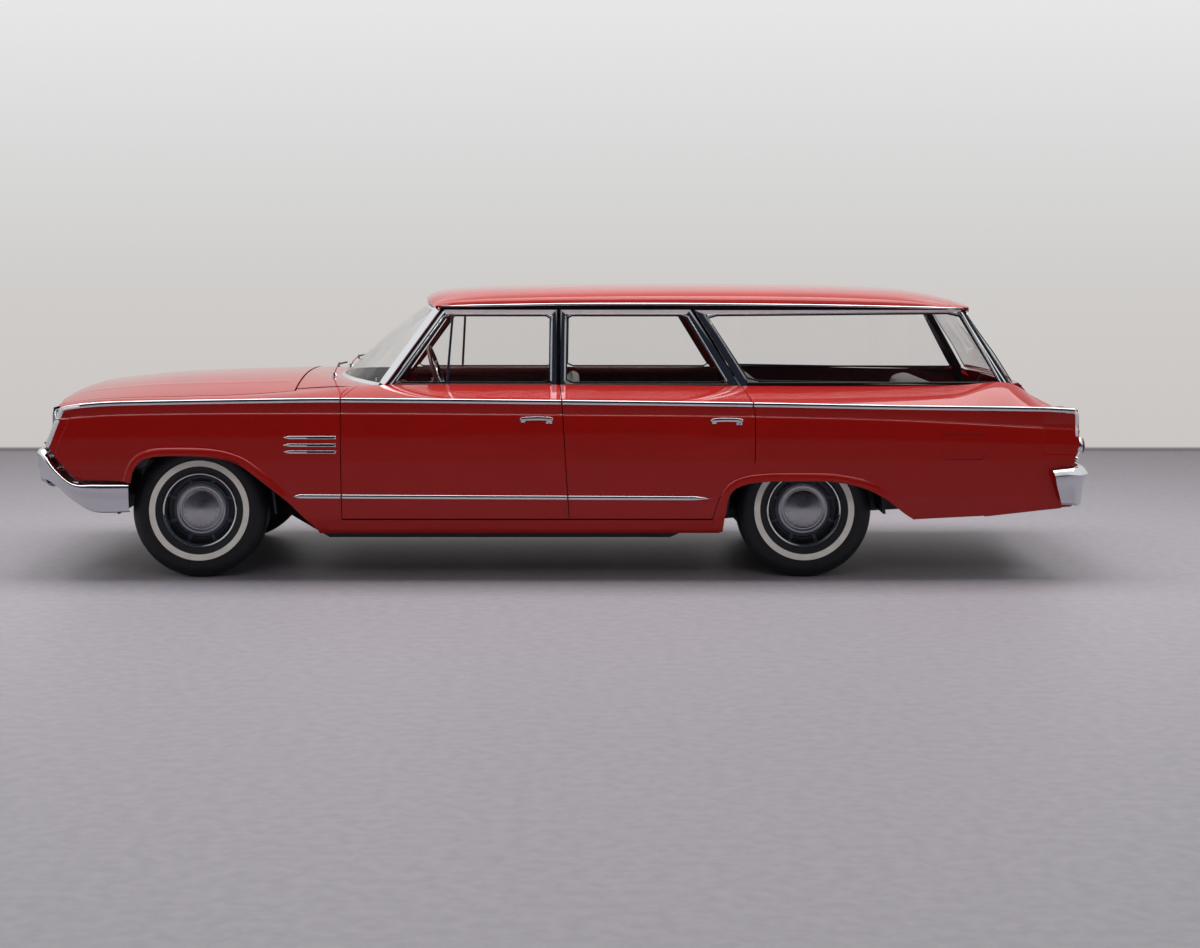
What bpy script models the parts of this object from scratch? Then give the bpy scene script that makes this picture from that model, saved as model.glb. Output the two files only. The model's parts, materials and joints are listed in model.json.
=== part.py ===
"""A full-size five-door station wagon of the early 1960s, built as an assembly of named pieces.

Metres, +Z up. The nose points to -X and the driver's side is -Y. The origin is on the floor, under
the middle of the length. Left-hand pieces are modelled, and right-hand ones are their mirror images.
"""

import math

import bmesh
import bpy
from mathutils import Matrix, Vector

# Driving dimensions
WHEELBASE = 3.048
FRONT_AXLE_X = -1.818
REAR_AXLE_X = FRONT_AXLE_X + WHEELBASE
TRACK_FRONT = 1.549
TRACK_REAR = 1.524
KNUCKLE_Y = TRACK_FRONT / 2 - 0.0745
SEAT_GAP = 0.0003
DOOR_GAP = 0.008

# Wheels and tyres
TYRE_RADIUS = 0.340
TYRE_WIDTH = 0.200
RIM_RADIUS = 0.178
HUB_Z = TYRE_RADIUS
WHEEL_STEPS = 24
WHEEL_FLANGE_RADIUS = 0.030

# Height of the shoulder crease, which the bright belt strip follows: x, z
CREASE_Z = (
    (-2.54, 0.840), (-2.47, 0.866), (-2.33, 0.884), (-2.17, 0.892), (-1.55, 0.904),
    (-1.10, 0.909), (0.00, 0.899), (0.95, 0.887), (1.70, 0.872), (2.40, 0.860), (2.60, 0.850),
)
# Half width of the body at the crease: x, y
CREASE_Y = (
    (-2.60, 0.925), (-2.45, 0.948), (-2.20, 0.972), (-1.80, 0.988), (-1.10, 0.997),
    (0.00, 1.000), (0.95, 0.998), (1.60, 0.985), (2.20, 0.958), (2.60, 0.930),
)
# Feature line under the belt moulding, where the side steps in: x, z
FEATURE_Z = (
    (-2.60, 0.800), (-2.17, 0.829), (-1.10, 0.837), (0.00, 0.830), (0.95, 0.822),
    (1.69, 0.802), (2.41, 0.762), (2.60, 0.750),
)
FEATURE_LEVEL = 0.832
FLAT_LEVEL = 0.600
# Body side below the crease: level, distance outside the crease
SIDE_BULGE = (
    (0.232, -0.078), (0.255, -0.050), (0.310, -0.024), (0.420, 0.000), (0.600, 0.013),
    (0.720, 0.015), (0.828, 0.009), (0.838, -0.001), (0.880, 0.002), (0.950, 0.002),
)
SIDE_LEVELS = (0.310, 0.420, 0.600, 0.720, 0.828, 0.838)
# Inner edge of the shoulder, at the bonnet gap and the window sills: x, y, z
SHOULDER = (
    (-2.56, 0.850, 0.868), (-2.30, 0.885, 0.902), (-1.90, 0.885, 0.914), (-1.60, 0.870, 0.922),
    (-1.25, 0.830, 0.945), (-1.03, 0.800, 0.962), (-0.80, 0.800, 0.968), (0.00, 0.805, 0.968),
    (0.95, 0.800, 0.962), (1.60, 0.793, 0.960), (2.00, 0.782, 0.963), (2.26, 0.768, 0.978),
    (2.35, 0.762, 0.943), (2.46, 0.758, 0.862), (2.60, 0.755, 0.846),
)
SHOULDER_CROWN = 0.006

# Greenhouse: half width of the glass at its upper edge: x, y
GLASS_TOP_Y = ((-0.75, 0.645), (-0.40, 0.662), (0.40, 0.668), (1.30, 0.664), (2.10, 0.632))
SILL_Z = 0.965
GLASS_TOP_Z = 1.352
GLASS_INSET = 0.012
GLASS_BOW = 0.010
GLASS_THICKNESS = 0.005
GLASS_DEPTH = 0.010
PANEL_SKIN = 0.018
FRAME_DEPTH = 0.026

# Roof: height along the centre, x, z, and height of the drip rail, x, z
ROOF_Z = (
    (-0.645, 1.396), (-0.60, 1.424), (-0.52, 1.440), (-0.33, 1.454), (0.21, 1.465), (0.75, 1.467),
    (1.29, 1.462), (1.67, 1.448), (1.83, 1.432), (2.00, 1.396), (2.10, 1.362),
)
RAIL_Z = ((-0.66, 1.366), (0.20, 1.378), (1.23, 1.372), (2.08, 1.354))
# Roof section: y as a share of the rail's, drop below the centre height
ROOF_SECTION = ((0.0, 0.0), (0.40, 0.004), (0.68, 0.014), (0.87, 0.033))

# Door cuts: x of each cut at a height, as height, x
CUT_FENDER = ((0.300, -1.088), (0.830, -1.094), (0.905, -1.094))
CUT_B = ((0.300, 0.046), (0.830, 0.013), (0.905, 0.008))
CUT_C = (
    (0.300, 0.760), (0.380, 0.780), (0.440, 0.805), (0.495, 0.850), (0.525, 0.905), (0.560, 0.955),
    (0.600, 0.972), (0.850, 0.972), (0.905, 0.958),
)
# Each cut, and how far it moves along X from the crease to the sill
CUTS = {"fender": (CUT_FENDER, 0.070), "b": (CUT_B, -0.010), "c": (CUT_C, -0.042)}
DOOR_BOTTOM_Z = 0.312
DOOR_SKIN = 0.024
DOOR_SLOPE = 0.006
HINGE_SETBACK = 0.040
HINGE_Z = 0.620
HINGE_HEIGHTS = (0.430, 0.740)
POST_FACE = {"fender": -1.048, "b": 0.045}
HINGE_Y = 0.998
FLANGE_FRONT = 0.052
FLANGE_REAR = 0.080
SLIM_FACE = ((0.345, 0.868), (0.620, 0.825), (0.880, 0.802), (0.935, 0.800))
INNER_FACE = ((0.345, 0.868), (0.620, 0.800), (0.880, 0.760), (0.935, 0.745))


def curve(table, at, column=1):
    """Smooth reading of a table of points whose first column rises or falls."""
    rows = sorted(table)
    if at <= rows[0][0]:
        return rows[0][column]
    if at >= rows[-1][0]:
        return rows[-1][column]
    last = len(rows) - 1
    i = max(k for k in range(last) if rows[k][0] <= at)

    def slope(k):
        a, b = max(k - 1, 0), min(k + 1, last)
        return (rows[b][column] - rows[a][column]) / (rows[b][0] - rows[a][0])

    span = rows[i + 1][0] - rows[i][0]
    t = (at - rows[i][0]) / span
    p, q = rows[i][column], rows[i + 1][column]
    return (
        (2 * t**3 - 3 * t**2 + 1) * p
        + (t**3 - 2 * t**2 + t) * span * slope(i)
        + (3 * t**2 - 2 * t**3) * q
        + (t**3 - t**2) * span * slope(i + 1)
    )


def straight(table, at):
    """Reading of a table of points along straight lines."""
    rows = sorted(table)
    if at <= rows[0][0]:
        return rows[0][1]
    for (a, p), (b, q) in zip(rows, rows[1:]):
        if at <= b:
            return p + (q - p) * (at - a) / (b - a)
    return rows[-1][1]


def crease(x):
    return curve(CREASE_Y, x), curve(CREASE_Z, x)


def side_z(x, level):
    """Height of a level on the side, with the feature line at its own level throughout."""
    feature = curve(FEATURE_Z, x)
    if level <= FLAT_LEVEL:
        return level
    if level <= FEATURE_LEVEL:
        stretch = (feature - FLAT_LEVEL) / (FEATURE_LEVEL - FLAT_LEVEL)
        return FLAT_LEVEL + (level - FLAT_LEVEL) * stretch
    return feature + level - FEATURE_LEVEL


def side_y(x, level):
    """Half width of the body side at a place below the crease."""
    return curve(CREASE_Y, x) + straight(SIDE_BULGE, level)


def sill(x):
    return curve(SHOULDER, x, 1), curve(SHOULDER, x, 2)


def shoulder(x, share):
    """Point (y, z) on the shoulder, from the crease at 0 to the sill at 1."""
    (cy, cz), (sy, sz) = crease(x), sill(x)
    rise = SHOULDER_CROWN * 4 * share * (1 - share)
    return cy + (sy - cy) * share, cz + (sz - cz) * share + rise


def glass_y(x, z):
    """Half width of the outside of the side glass and its frames."""
    share = (z - SILL_Z) / (GLASS_TOP_Z - SILL_Z)
    low = sill(min(x, 2.2))[0] - GLASS_INSET
    high = curve(GLASS_TOP_Y, x)
    return low + (high - low) * share + GLASS_BOW * 4 * share * (1 - share)


# Materials: name, colour, roughness, metallic
FINISHES = {
    "red_paint": ((0.35, 0.014, 0.008), 0.25, 0.0),
    "chrome": ((0.75, 0.76, 0.78), 0.12, 1.0),
    "glass": ((0.72, 0.78, 0.78), 0.05, 0.0),
    "rubber": ((0.02, 0.02, 0.022), 0.75, 0.0),
    "wheel_steel": ((0.55, 0.56, 0.58), 0.30, 1.0),
    "black_steel": ((0.03, 0.03, 0.032), 0.60, 0.4),
    "cast_iron": ((0.16, 0.16, 0.17), 0.65, 0.8),
    "red_vinyl": ((0.20, 0.020, 0.022), 0.45, 0.0),
    "grey_vinyl": ((0.45, 0.42, 0.42), 0.50, 0.0),
    "lamp_red": ((0.40, 0.010, 0.010), 0.15, 0.0),
    "grille_metal": ((0.65, 0.66, 0.68), 0.20, 1.0),
}


def finish_of(name):
    found = bpy.data.materials.get(name)
    if found:
        return found
    colour, roughness, metallic = FINISHES[name]
    made = bpy.data.materials.new(name)
    made.use_nodes = True
    shader = made.node_tree.nodes["Principled BSDF"]
    shader.inputs["Base Color"].default_value = (*colour, 1.0)
    shader.inputs["Roughness"].default_value = roughness
    shader.inputs["Metallic"].default_value = metallic
    return made


def add_object(name, mesh_data, finish, smooth_angle=35.0):
    mesh = bpy.data.meshes.new(name)
    bmesh.ops.remove_doubles(mesh_data, verts=mesh_data.verts, dist=1e-6)
    bmesh.ops.recalc_face_normals(mesh_data, faces=mesh_data.faces)
    mesh_data.to_mesh(mesh)
    mesh_data.free()
    mesh.shade_smooth()
    mesh.set_sharp_from_angle(angle=math.radians(smooth_angle))
    made = bpy.data.objects.new(name, mesh)
    made.data.materials.append(finish_of(finish))
    bpy.context.scene.collection.objects.link(made)
    return made


def add_rings(bm, rings, caps=True, around=False, strip=False):
    """Joins closed rings of points with faces. Caps close the ends, or around joins last to first.

    A strip cap is a row of quads, for rings that run out along one line and back along another.
    """
    made = [[bm.verts.new(p) for p in ring] for ring in rings]
    pairs = list(zip(made, made[1:]))
    if around:
        pairs.append((made[-1], made[0]))
    for a, b in pairs:
        for k in range(len(a)):
            m = (k + 1) % len(a)
            bm.faces.new((a[k], a[m], b[m], b[k]))
    if caps and not around:
        for ring in (made[0], made[-1]):
            if strip:
                n = len(ring)
                for k in range(n // 2 - 1):
                    bm.faces.new((ring[k], ring[k + 1], ring[n - 2 - k], ring[n - 1 - k]))
            else:
                bm.faces.new(ring)
    return made


def loft(name, rings, finish, around=False, strip=False):
    bm = bmesh.new()
    add_rings(bm, rings, around=around, strip=strip)
    return add_object(name, bm, finish)


def apply_modifiers(target):
    graph = bpy.context.evaluated_depsgraph_get()
    graph.update()
    baked = bpy.data.meshes.new_from_object(target.evaluated_get(graph))
    target.modifiers.clear()
    old = target.data
    target.data = baked
    bpy.data.meshes.remove(old)


def combine(target, others, operation):
    """Boolean union or difference of a piece with helpers, which are then removed."""
    for other in others:
        step = target.modifiers.new(operation.lower(), "BOOLEAN")
        step.operation = operation
        step.object = other
        bpy.context.view_layer.update()
        apply_modifiers(target)
        bpy.data.objects.remove(other)
    target.data.shade_smooth()
    target.data.set_sharp_from_angle(angle=math.radians(35.0))
    return target


def cut(target, *cutters):
    return combine(target, cutters, "DIFFERENCE")


def join(target, *added):
    return combine(target, added, "UNION")


def box(name, low, high, finish="black_steel"):
    """A plain block between two corners, used as a helper or a hidden mass."""
    (x0, y0, z0), (x1, y1, z1) = low, high
    ring = ((y0, z0), (y1, z0), (y1, z1), (y0, z1))
    return loft(name, [[(x, y, z) for y, z in ring] for x in (x0, x1)], finish)


def prism(name, outline, low, high, axis="Y", finish="black_steel"):
    """An outline of (x, z), (y, z) or (x, y) points, drawn out along the axis that it leaves."""
    place = {
        "Y": lambda p, h: (p[0], h, p[1]),
        "X": lambda p, h: (h, p[0], p[1]),
        "Z": lambda p, h: (p[0], p[1], h),
    }[axis]
    return loft(name, [[place(p, h) for p in outline] for h in (low, high)], finish)


def arc(centre, radius, start, end, steps):
    """Points on an arc, in degrees."""
    return [
        (
            centre[0] + radius * math.cos(math.radians(start + (end - start) * k / steps)),
            centre[1] + radius * math.sin(math.radians(start + (end - start) * k / steps)),
        )
        for k in range(steps + 1)
    ]


def turned(name, profile, centre, finish, steps):
    """A closed profile of (radius, y) points turned round the axle line through centre."""
    rings = []
    for k in range(steps):
        a = 2 * math.pi * k / steps
        rings.append(
            [
                (centre[0] + r * math.cos(a), centre[1] + y, centre[2] + r * math.sin(a))
                for r, y in profile
            ]
        )
    return loft(name, rings, finish, around=True)


def rod(name, start, end, radius, finish="black_steel", sides=10):
    """A round bar from one point to another."""
    a, b = Vector(start), Vector(end)
    turn = (b - a).to_track_quat("Z", "Y").to_matrix()
    rings = []
    for p in (a, b):
        rings.append(
            [
                p + turn @ Vector((radius * math.cos(t), radius * math.sin(t), 0))
                for t in (2 * math.pi * k / sides for k in range(sides))
            ]
        )
    return loft(name, rings, finish)


def bent_bar(name, points, width, height, finish="black_steel"):
    """A box section along points, kept level across Y and upright."""
    rings = []
    for k, p in enumerate(points):
        a = Vector(points[max(k - 1, 0)])
        b = Vector(points[min(k + 1, len(points) - 1)])
        along = (b - a).normalized()
        across = along.cross(Vector((0, 0, 1))).normalized() * width / 2
        up = across.cross(along).normalized() * height / 2
        p = Vector(p)
        rings.append([p - across - up, p + across - up, p + across + up, p - across + up])
    return loft(name, rings, finish)


def set_origin(target, point):
    """Moves an object's origin to a point on its joint's axis, with the shape left where it is."""
    target.data.transform(Matrix.Translation(-Vector(point)))
    target.location = point
    return target


def mirrored(source, name):
    """The right-hand twin of a left-hand piece."""
    bm = bmesh.new()
    bm.from_mesh(source.data)
    bmesh.ops.transform(bm, matrix=Matrix.Scale(-1, 4, (0, 1, 0)), verts=bm.verts)
    made = add_object(name, bm, source.data.materials[0].name)
    x, y, z = source.location
    made.location = (x, -y, z)
    return made


def attach(child, parent):
    """Parents a piece without moving it."""
    bpy.context.view_layer.update()
    child.parent = parent
    child.matrix_parent_inverse = parent.matrix_world.inverted()
    return child


def cut_x(name, kind, value, side=0.0):
    """X of a door cut at a height on the side, or at a share across the shoulder."""
    table, sweep = CUTS[name]
    if kind == "side":
        return straight(table, value) + side * DOOR_GAP / 2
    return straight(table, table[-1][0]) + sweep * value + side * DOOR_GAP / 2


def wall_ring(x_at, low_z, skin=0.0, face=None, lip=0.055):
    """One closed ring of a side wall: up the side, across the shoulder, and back down inside.

    The inner line lies a skin's thickness inside the outer one, or at the trim face of a door.
    """
    outer = []
    for level in [low_z] + [level for level in SIDE_LEVELS if level > low_z + 0.02]:
        z = side_z(x_at("side", level), level)
        x = x_at("side", z)
        outer.append((x, side_y(x, level), z))
    sides = len(outer)
    for share in (0.0, 0.5, 1.0):
        x = x_at("shoulder", share)
        outer.append((x, *shoulder(x, share)))
    inner = []
    for k, (x, y, z) in enumerate(outer):
        if face:
            drop = (0.025, 0.015, 0.004)[k - sides] if k >= sides else 0.0
            depth = straight(face, z - drop) if k < len(outer) - 2 else y - lip
            if k == len(outer) - 2:
                depth = sill(x)[0] - lip
            inner.append((x, depth, z - drop))
        elif k < sides:
            inner.append((x, y - skin, z))
        else:
            inner.append((x, y - skin * (1.0, 0.5, 0.2)[k - sides], z - skin))
    return [(x, -y, z) for x, y, z in outer + inner[::-1]]


def door(name, front, rear, window, opening, slim_until=None):
    """A door: a thick box behind a skin that laps it at both ends, and a window frame."""

    def x_of(share):
        def at(kind, value):
            a = cut_x(front, kind, value, 1.0)
            b = cut_x(rear, kind, value, -1.0)
            return a + (b - a) * share

        return at

    a, b = x_of(0.0)("side", HINGE_Z), x_of(1.0)("side", HINGE_Z)
    length = b - a
    flange_a, flange_b = FLANGE_FRONT / length, 1 - FLANGE_REAR / length
    box_a, box_b = flange_a + DOOR_SLOPE / length, flange_b - DOOR_SLOPE / length
    slim = (slim_until - a) / length if slim_until else box_a
    rings = [wall_ring(x_of(s), DOOR_BOTTOM_Z, skin=DOOR_SKIN) for s in (0.0, flange_a)]
    if slim_until:
        for s in (box_a, slim):
            rings.append(wall_ring(x_of(s), DOOR_BOTTOM_Z, face=SLIM_FACE, lip=0.004))
        slim += DOOR_SLOPE / length
    for k in range(5):
        share = slim + (box_b - slim) * k / 4
        rings.append(wall_ring(x_of(share), DOOR_BOTTOM_Z, face=INNER_FACE))
    rings += [wall_ring(x_of(s), DOOR_BOTTOM_Z, skin=DOOR_SKIN) for s in (flange_b, 1.0)]
    made = loft(name, rings, "red_paint", strip=True)
    lugs = []
    for k, z in enumerate(HINGE_HEIGHTS):
        low, high = (POST_FACE[front] + SEAT_GAP, -0.925, z - 0.03), (a + 0.075, -0.900, z + 0.03)
        lugs.append(box(f"{name}_lug_{k}", low, high))
    join(made, window_frame(name + "_frame", window, opening), *lugs)
    return set_origin(made, (a + HINGE_SETBACK, -HINGE_Y, DOOR_BOTTOM_Z))


def window_frame(name, outer, inner, depth=FRAME_DEPTH):
    """A ring between two outlines of (x, z) points on the left side glass surface."""
    rings = []
    for (xo, zo), (xi, zi) in zip(outer, inner):
        yo, yi = glass_y(xo, zo), glass_y(xi, zi)
        rings.append(
            [
                (xo, -yo, zo),
                (xo, -(yo - depth), zo),
                (xi, -(yi - depth), zi),
                (xi, -yi, zi),
            ]
        )
    return loft(name, rings, "red_paint", around=True)


def pane(name, outline, finish="glass"):
    """Side glass inside an opening of (x, z) points, a seat gap clear of its frame."""
    cx = sum(p[0] for p in outline) / len(outline)
    cz = sum(p[1] for p in outline) / len(outline)
    rows = []
    for depth in (GLASS_DEPTH, GLASS_DEPTH + GLASS_THICKNESS):
        row = []
        for x, z in outline:
            x += math.copysign(SEAT_GAP * 1.5, cx - x)
            z += math.copysign(SEAT_GAP, cz - z)
            row.append((x, -(glass_y(x, z) - depth), z))
        rows.append(row)
    return loft(name, rows, finish)


def side_panel(name, stations, cutters):
    """A skin of the body side: stations of (x_at, low_z), trimmed by outlines of (x, z) points."""
    rings = [wall_ring(x_at, low_z, skin=PANEL_SKIN) for x_at, low_z in stations]
    made = loft(name, rings, "red_paint", strip=True)
    for k, outline in enumerate(cutters):
        cut(made, prism(f"{name}_trim_{k}", outline, -1.2, -0.4))
    return made


def blend_x(a, b, share):
    """An x_at function part way between two others."""
    return lambda kind, value: a(kind, value) * (1 - share) + b(kind, value) * share


def section_sweep(name, path, sections, finish):
    """A section of (outward, z) points swept along a plan path of (x, y, outward x, outward y)."""
    rings = []
    for (x, y, ox, oy), section in zip(path, sections):
        rings.append([(x + ox * d, y + oy * d, z) for d, z in section])
    return loft(name, rings, finish, strip=True)


def clear_scene():
    for item in list(bpy.data.objects):
        bpy.data.objects.remove(item)


# Outlines of the side windows, on the left: (x, z), all from the lower front corner
WINDOWS = {
    "front": (
        ((-0.883, 0.940), (-0.595, 1.345), (-0.019, 1.345), (-0.019, 0.940)),
        ((-0.840, 0.972), (-0.589, 1.322), (-0.045, 1.322), (-0.047, 0.972)),
    ),
    "rear": (
        ((0.001, 0.940), (0.001, 1.345), (0.664, 1.345), (0.922, 0.940)),
        ((0.022, 0.972), (0.027, 1.322), (0.644, 1.322), (0.852, 0.972)),
    ),
    "cargo": (
        ((0.930, 0.9400), (0.686, 1.343), (2.058, 1.343), (2.262, 0.940)),
        ((0.950, 0.9806), (0.740, 1.322), (2.036, 1.322), (2.230, 0.9806)),
    ),
}

# Wheel arches and lower edges of the body side: (x, z) from front to rear
FRONT_ARCH = (
    (-2.146, 0.490), (-2.130, 0.550), (-2.095, 0.600), (-2.040, 0.622), (-1.960, 0.630),
    (-1.780, 0.628), (-1.673, 0.613), (-1.585, 0.580), (-1.494, 0.511), (-1.368, 0.410),
    (-1.285, 0.328), (-1.215, 0.262),
)
REAR_ARCH = (
    (0.812, 0.232), (0.823, 0.331), (0.834, 0.408), (0.861, 0.457), (0.921, 0.487),
    (1.020, 0.502), (1.204, 0.505), (1.369, 0.500), (1.503, 0.472), (1.618, 0.418),
    (1.720, 0.341), (1.773, 0.306),
)
NOSE_LOW = ((-2.580, 0.690), (-2.480, 0.572), (-2.427, 0.521), (-2.386, 0.504), (-2.150, 0.504))
TAIL_LOW = ((2.124, 0.322), (2.509, 0.362), (2.700, 0.378))
ROCKER_Z = 0.2325
NOSE_X = ((0.504, -2.640), (0.672, -2.577), (0.846, -2.509), (0.905, -2.500))
TAIL_X = ((0.300, 2.560), (0.607, 2.575), (0.716, 2.602), (0.851, 2.592))

# Bonnet: height along the centre, x, z
HOOD_Z = (
    (-2.578, 0.862), (-2.533, 0.917), (-2.479, 0.939), (-2.383, 0.953), (-2.106, 0.980),
    (-1.830, 0.994), (-1.344, 1.008),
)
HOOD_REAR_X = -1.344
HOOD_HINGE = (-1.338, 1.008)
HOOD_STRAP = (-1.430, -1.360, 0.600, 0.880)
HOOD_GAP = 0.007
COWL_Z = ((-1.336, 1.006), (-1.250, 1.002), (-1.150, 0.980))
COWL_HALF = 0.785

# Windscreen: (x, z) of its centre at the lower and upper edge, and z of its sides there
SCREEN_CENTRE = ((-1.168, 0.9895), (-0.716, 1.366))
SCREEN_SIDE_Z = (0.966, 1.342)
SCREEN_THICKNESS = 0.006

# Tailgate: (x, z) up its outer face, and (x, z) of its rear glass
GATE_FACE = ((2.500, 0.612), (2.508, 0.700), (2.492, 0.800), (2.440, 0.890), (2.372, 0.972))
GATE_HALF = 0.690
GATE_POST_Y = GATE_HALF + 0.0617
GATE_THICKNESS = 0.055
GATE_HINGE = (2.470, 0.622)
GATE_PIN_RADIUS = 0.008
GATE_GLASS = ((2.352, 0.983), (2.278, 1.110), (2.196, 1.230), (2.135, 1.325))
GATE_GLASS_BOW = 0.048

# Floor, seen from the side: (x, z) of its upper face
FLOOR_TOP = (
    (-1.150, 0.560), (-1.020, 0.330), (-0.950, 0.300), (0.560, 0.300), (0.800, 0.500),
    (0.870, 0.600), (2.440, 0.600),
)
FLOOR_THICKNESS = 0.020
FLOOR_HALF = 0.775
# Wheelhouses: axle x, inner face, top of the opening for the axle or the arms
WHEELHOUSES = (
    (FRONT_AXLE_X, TRACK_FRONT / 2 - 0.2895, 0.560), (REAR_AXLE_X, TRACK_REAR / 2 - 0.162, 0.520),
)
WHEELHOUSE_OUTER = 0.930
WHEELHOUSE_RADIUS = 0.400
SHEET = 0.012
POST_TOP_Z = 0.860
RAIL_PATH = (
    (-2.520, 0.420, 0.420), (-2.250, 0.420, 0.420), (-1.500, 0.420, 0.380), (-1.180, 0.600, 0.225),
    (0.560, 0.600, 0.225), (0.800, 0.560, 0.330), (1.000, 0.510, 0.460), (1.480, 0.510, 0.460),
    (1.860, 0.500, 0.400), (2.480, 0.500, 0.400),
)
RAIL_SIZE = (0.070, 0.100)


def front_lamp_places():
    return [(side * y, FRONT_LAMP_Z) for side in (-1, 1) for y in FRONT_LAMP_Y]


FRONT_LAMP_Y = (0.580, 0.790)
FRONT_LAMP_Z = 0.758
FRONT_LAMP_RADIUS = 0.074
GRILLE_X = -2.545
GRILLE_DEPTH = 0.060
GRILLE_HALF = 0.862
GRILLE_BARS = 7
LAMP_PANEL_Y = 0.490
LAMP_STEPS = 16
# Lamp from its seat out over the bezel to the middle of the lens: extra radius, depth
LAMP_PROFILE = ((0.010, 0.030), (0.010, -0.006), (-0.002, -0.010), (-0.012, 0.006), (-0.045, -0.004))
GRILLE_LOW, GRILLE_HIGH = 0.672, 0.845


def hood_z(x, y):
    """Height of the bonnet: level with the fender at its edge and crowned to the centre."""
    edge_y, edge_z = sill(x)
    share = min(abs(y) / edge_y, 1.0)
    return edge_z + (curve(HOOD_Z, x) - edge_z) * (1 - share**2.4)


def hood_front_x(y):
    return -2.578 + 0.062 * (abs(y) / 0.85) ** 2.2


def make_hood():
    rings = []
    for k in range(10):
        share = k / 9
        row = []
        for j in range(-6, 7):
            side = j / 6
            x = hood_front_x(side * 0.85) * (1 - share) + HOOD_REAR_X * share
            y = side * (sill(x)[0] - HOOD_GAP)
            row.append((x, y, hood_z(x, y)))
        under = [(x + (0.012 if k == 0 else 0.0), y * 0.985, z - 0.022) for x, y, z in row]
        rings.append(row + under[::-1])
    made = loft("hood", rings, "red_paint", strip=True)
    x0, x1, y, low = HOOD_STRAP
    straps = []
    for side in (-1, 1):
        ys = sorted((side * y, side * (y + 0.020)))
        straps.append(box(f"strap_{side}", (x0, ys[0], low), (x1, ys[1], 0.962)))
    join(made, *straps)
    return set_origin(made, (HOOD_HINGE[0], 0.0, HOOD_HINGE[1]))


def make_front_fender():
    def nose(kind, value):
        if kind == "side":
            return straight(NOSE_X, value)
        return straight(NOSE_X, 0.905) - 0.020 * value

    def back(kind, value):
        return cut_x("fender", kind, value, -1.0)

    shares = (0.0, 0.05, 0.12, 0.20, 0.32, 0.44, 0.56, 0.70, 0.82, 0.92, 1.0)
    stations = [(blend_x(nose, back, s), ROCKER_Z) for s in shares]
    arch = list(NOSE_LOW) + list(FRONT_ARCH) + [(-1.187, ROCKER_Z - 0.05), (-3.0, ROCKER_Z - 0.05)]
    arch = [(-3.0, 0.690)] + arch
    made = side_panel("front_fender_left", stations, [arch])
    flange = box("flange", (-1.185, -0.990, 0.400), (-1.165 - SEAT_GAP, -0.820, 0.780))
    return join(made, flange)


# Closing panel at the tail, on the left: (y, z)
TAIL_PANEL = (
    (-0.752, 0.400), (-0.925, 0.400), (-0.935, 0.600), (-0.925, 0.800), (-0.900, 0.852),
    (-0.752, 0.852),
)


def make_rear_quarter():
    def start(kind, value):
        return cut_x("c", kind, value, 1.0)

    def tail(kind, value):
        if kind == "side":
            return straight(TAIL_X, value)
        return 2.592 - 0.010 * value

    shares = (0.0, 0.10, 0.22, 0.34, 0.46, 0.58, 0.70, 0.80, 0.88, 0.94, 1.0)
    stations = [(blend_x(start, tail, s), 0.240) for s in shares]
    low = [(0.700, 0.100)] + [(0.812, 0.100)] + list(REAR_ARCH) + list(TAIL_LOW) + [(2.80, 0.100)]
    made = side_panel("rear_quarter_left", stations, [low])
    jamb = box("jamb", (2.385, -0.764, 0.420), (2.556, -GATE_POST_Y - SEAT_GAP, 0.856))
    end = prism("end", TAIL_PANEL, 2.544, 2.560, axis="X")
    return join(made, jamb, end)


def roof_frame(share):
    """Half width and height of the gutter, crown height and x, between the roof's two ends."""
    x = ROOF_FRONT_X + (ROOF_REAR_X - ROOF_FRONT_X) * share
    return x, curve(GLASS_TOP_Y, x) + RAIL_PROUD, curve(RAIL_Z, x), curve(ROOF_Z, x)


def bowed_x(share, y):
    """X of a roof section: its ends bow outwards towards the centre of the car."""
    x, rail_y, _, _ = roof_frame(share)
    round_off = 1 - (y / rail_y) ** 2
    return x + round_off * (ROOF_BOW_REAR * share - ROOF_BOW_FRONT * (1 - share))


def roof_ring(share):
    """One cross-section of the roof, from the front edge at share 0 to the rear edge at 1.

    Its outer line runs from the left rail over the crown to the right rail, and its inner line
    comes back along the side rails and the lining.
    """
    _, rail_y, rail_z, top = roof_frame(share)
    outer = [(part * rail_y, top - drop) for part, drop in ROOF_SECTION]
    outer.append((rail_y * 0.965, rail_z + (top - rail_z) * 0.35))
    outer += [(rail_y, rail_z), (rail_y, rail_z - RAIL_LIP * 0.8)]
    lip, middle = rail_z - RAIL_LIP, top - ROOF_THICKNESS
    inner = [(part * rail_y, middle + (lip - middle) * part**2) for part in LINING_SHARES]
    inner += [(rail_y - RAIL_SEAT, lip), (rail_y - RAIL_PROUD - RAIL_STEP, lip)]
    ring = [(-y, z) for y, z in outer[:0:-1]] + outer
    ring += inner[::-1] + [(-y, z) for y, z in inner[1:]]
    return [(bowed_x(share, y), y, z) for y, z in ring]


def make_roof():
    """Roof panel with its gutters, and the headers over the windscreen and the rear glass."""
    made = loft("roof", [roof_ring(share) for share in ROOF_STATIONS], "red_paint", strip=True)
    headers = []
    for name, line, deep in (("front", screen_line(1.0), 0.034), ("rear", gate_glass_line(-1), -0.030)):
        rings = []
        for x, y, z in line[1:-1]:
            foot = z + SEAT_GAP
            rings.append([(x, y, foot), (x + deep, y, foot), (x + deep, y, z + 0.030), (x, y, z + 0.022)])
        headers.append(loft(f"{name}_header", rings, "red_paint"))
    return join(made, *headers)


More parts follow.
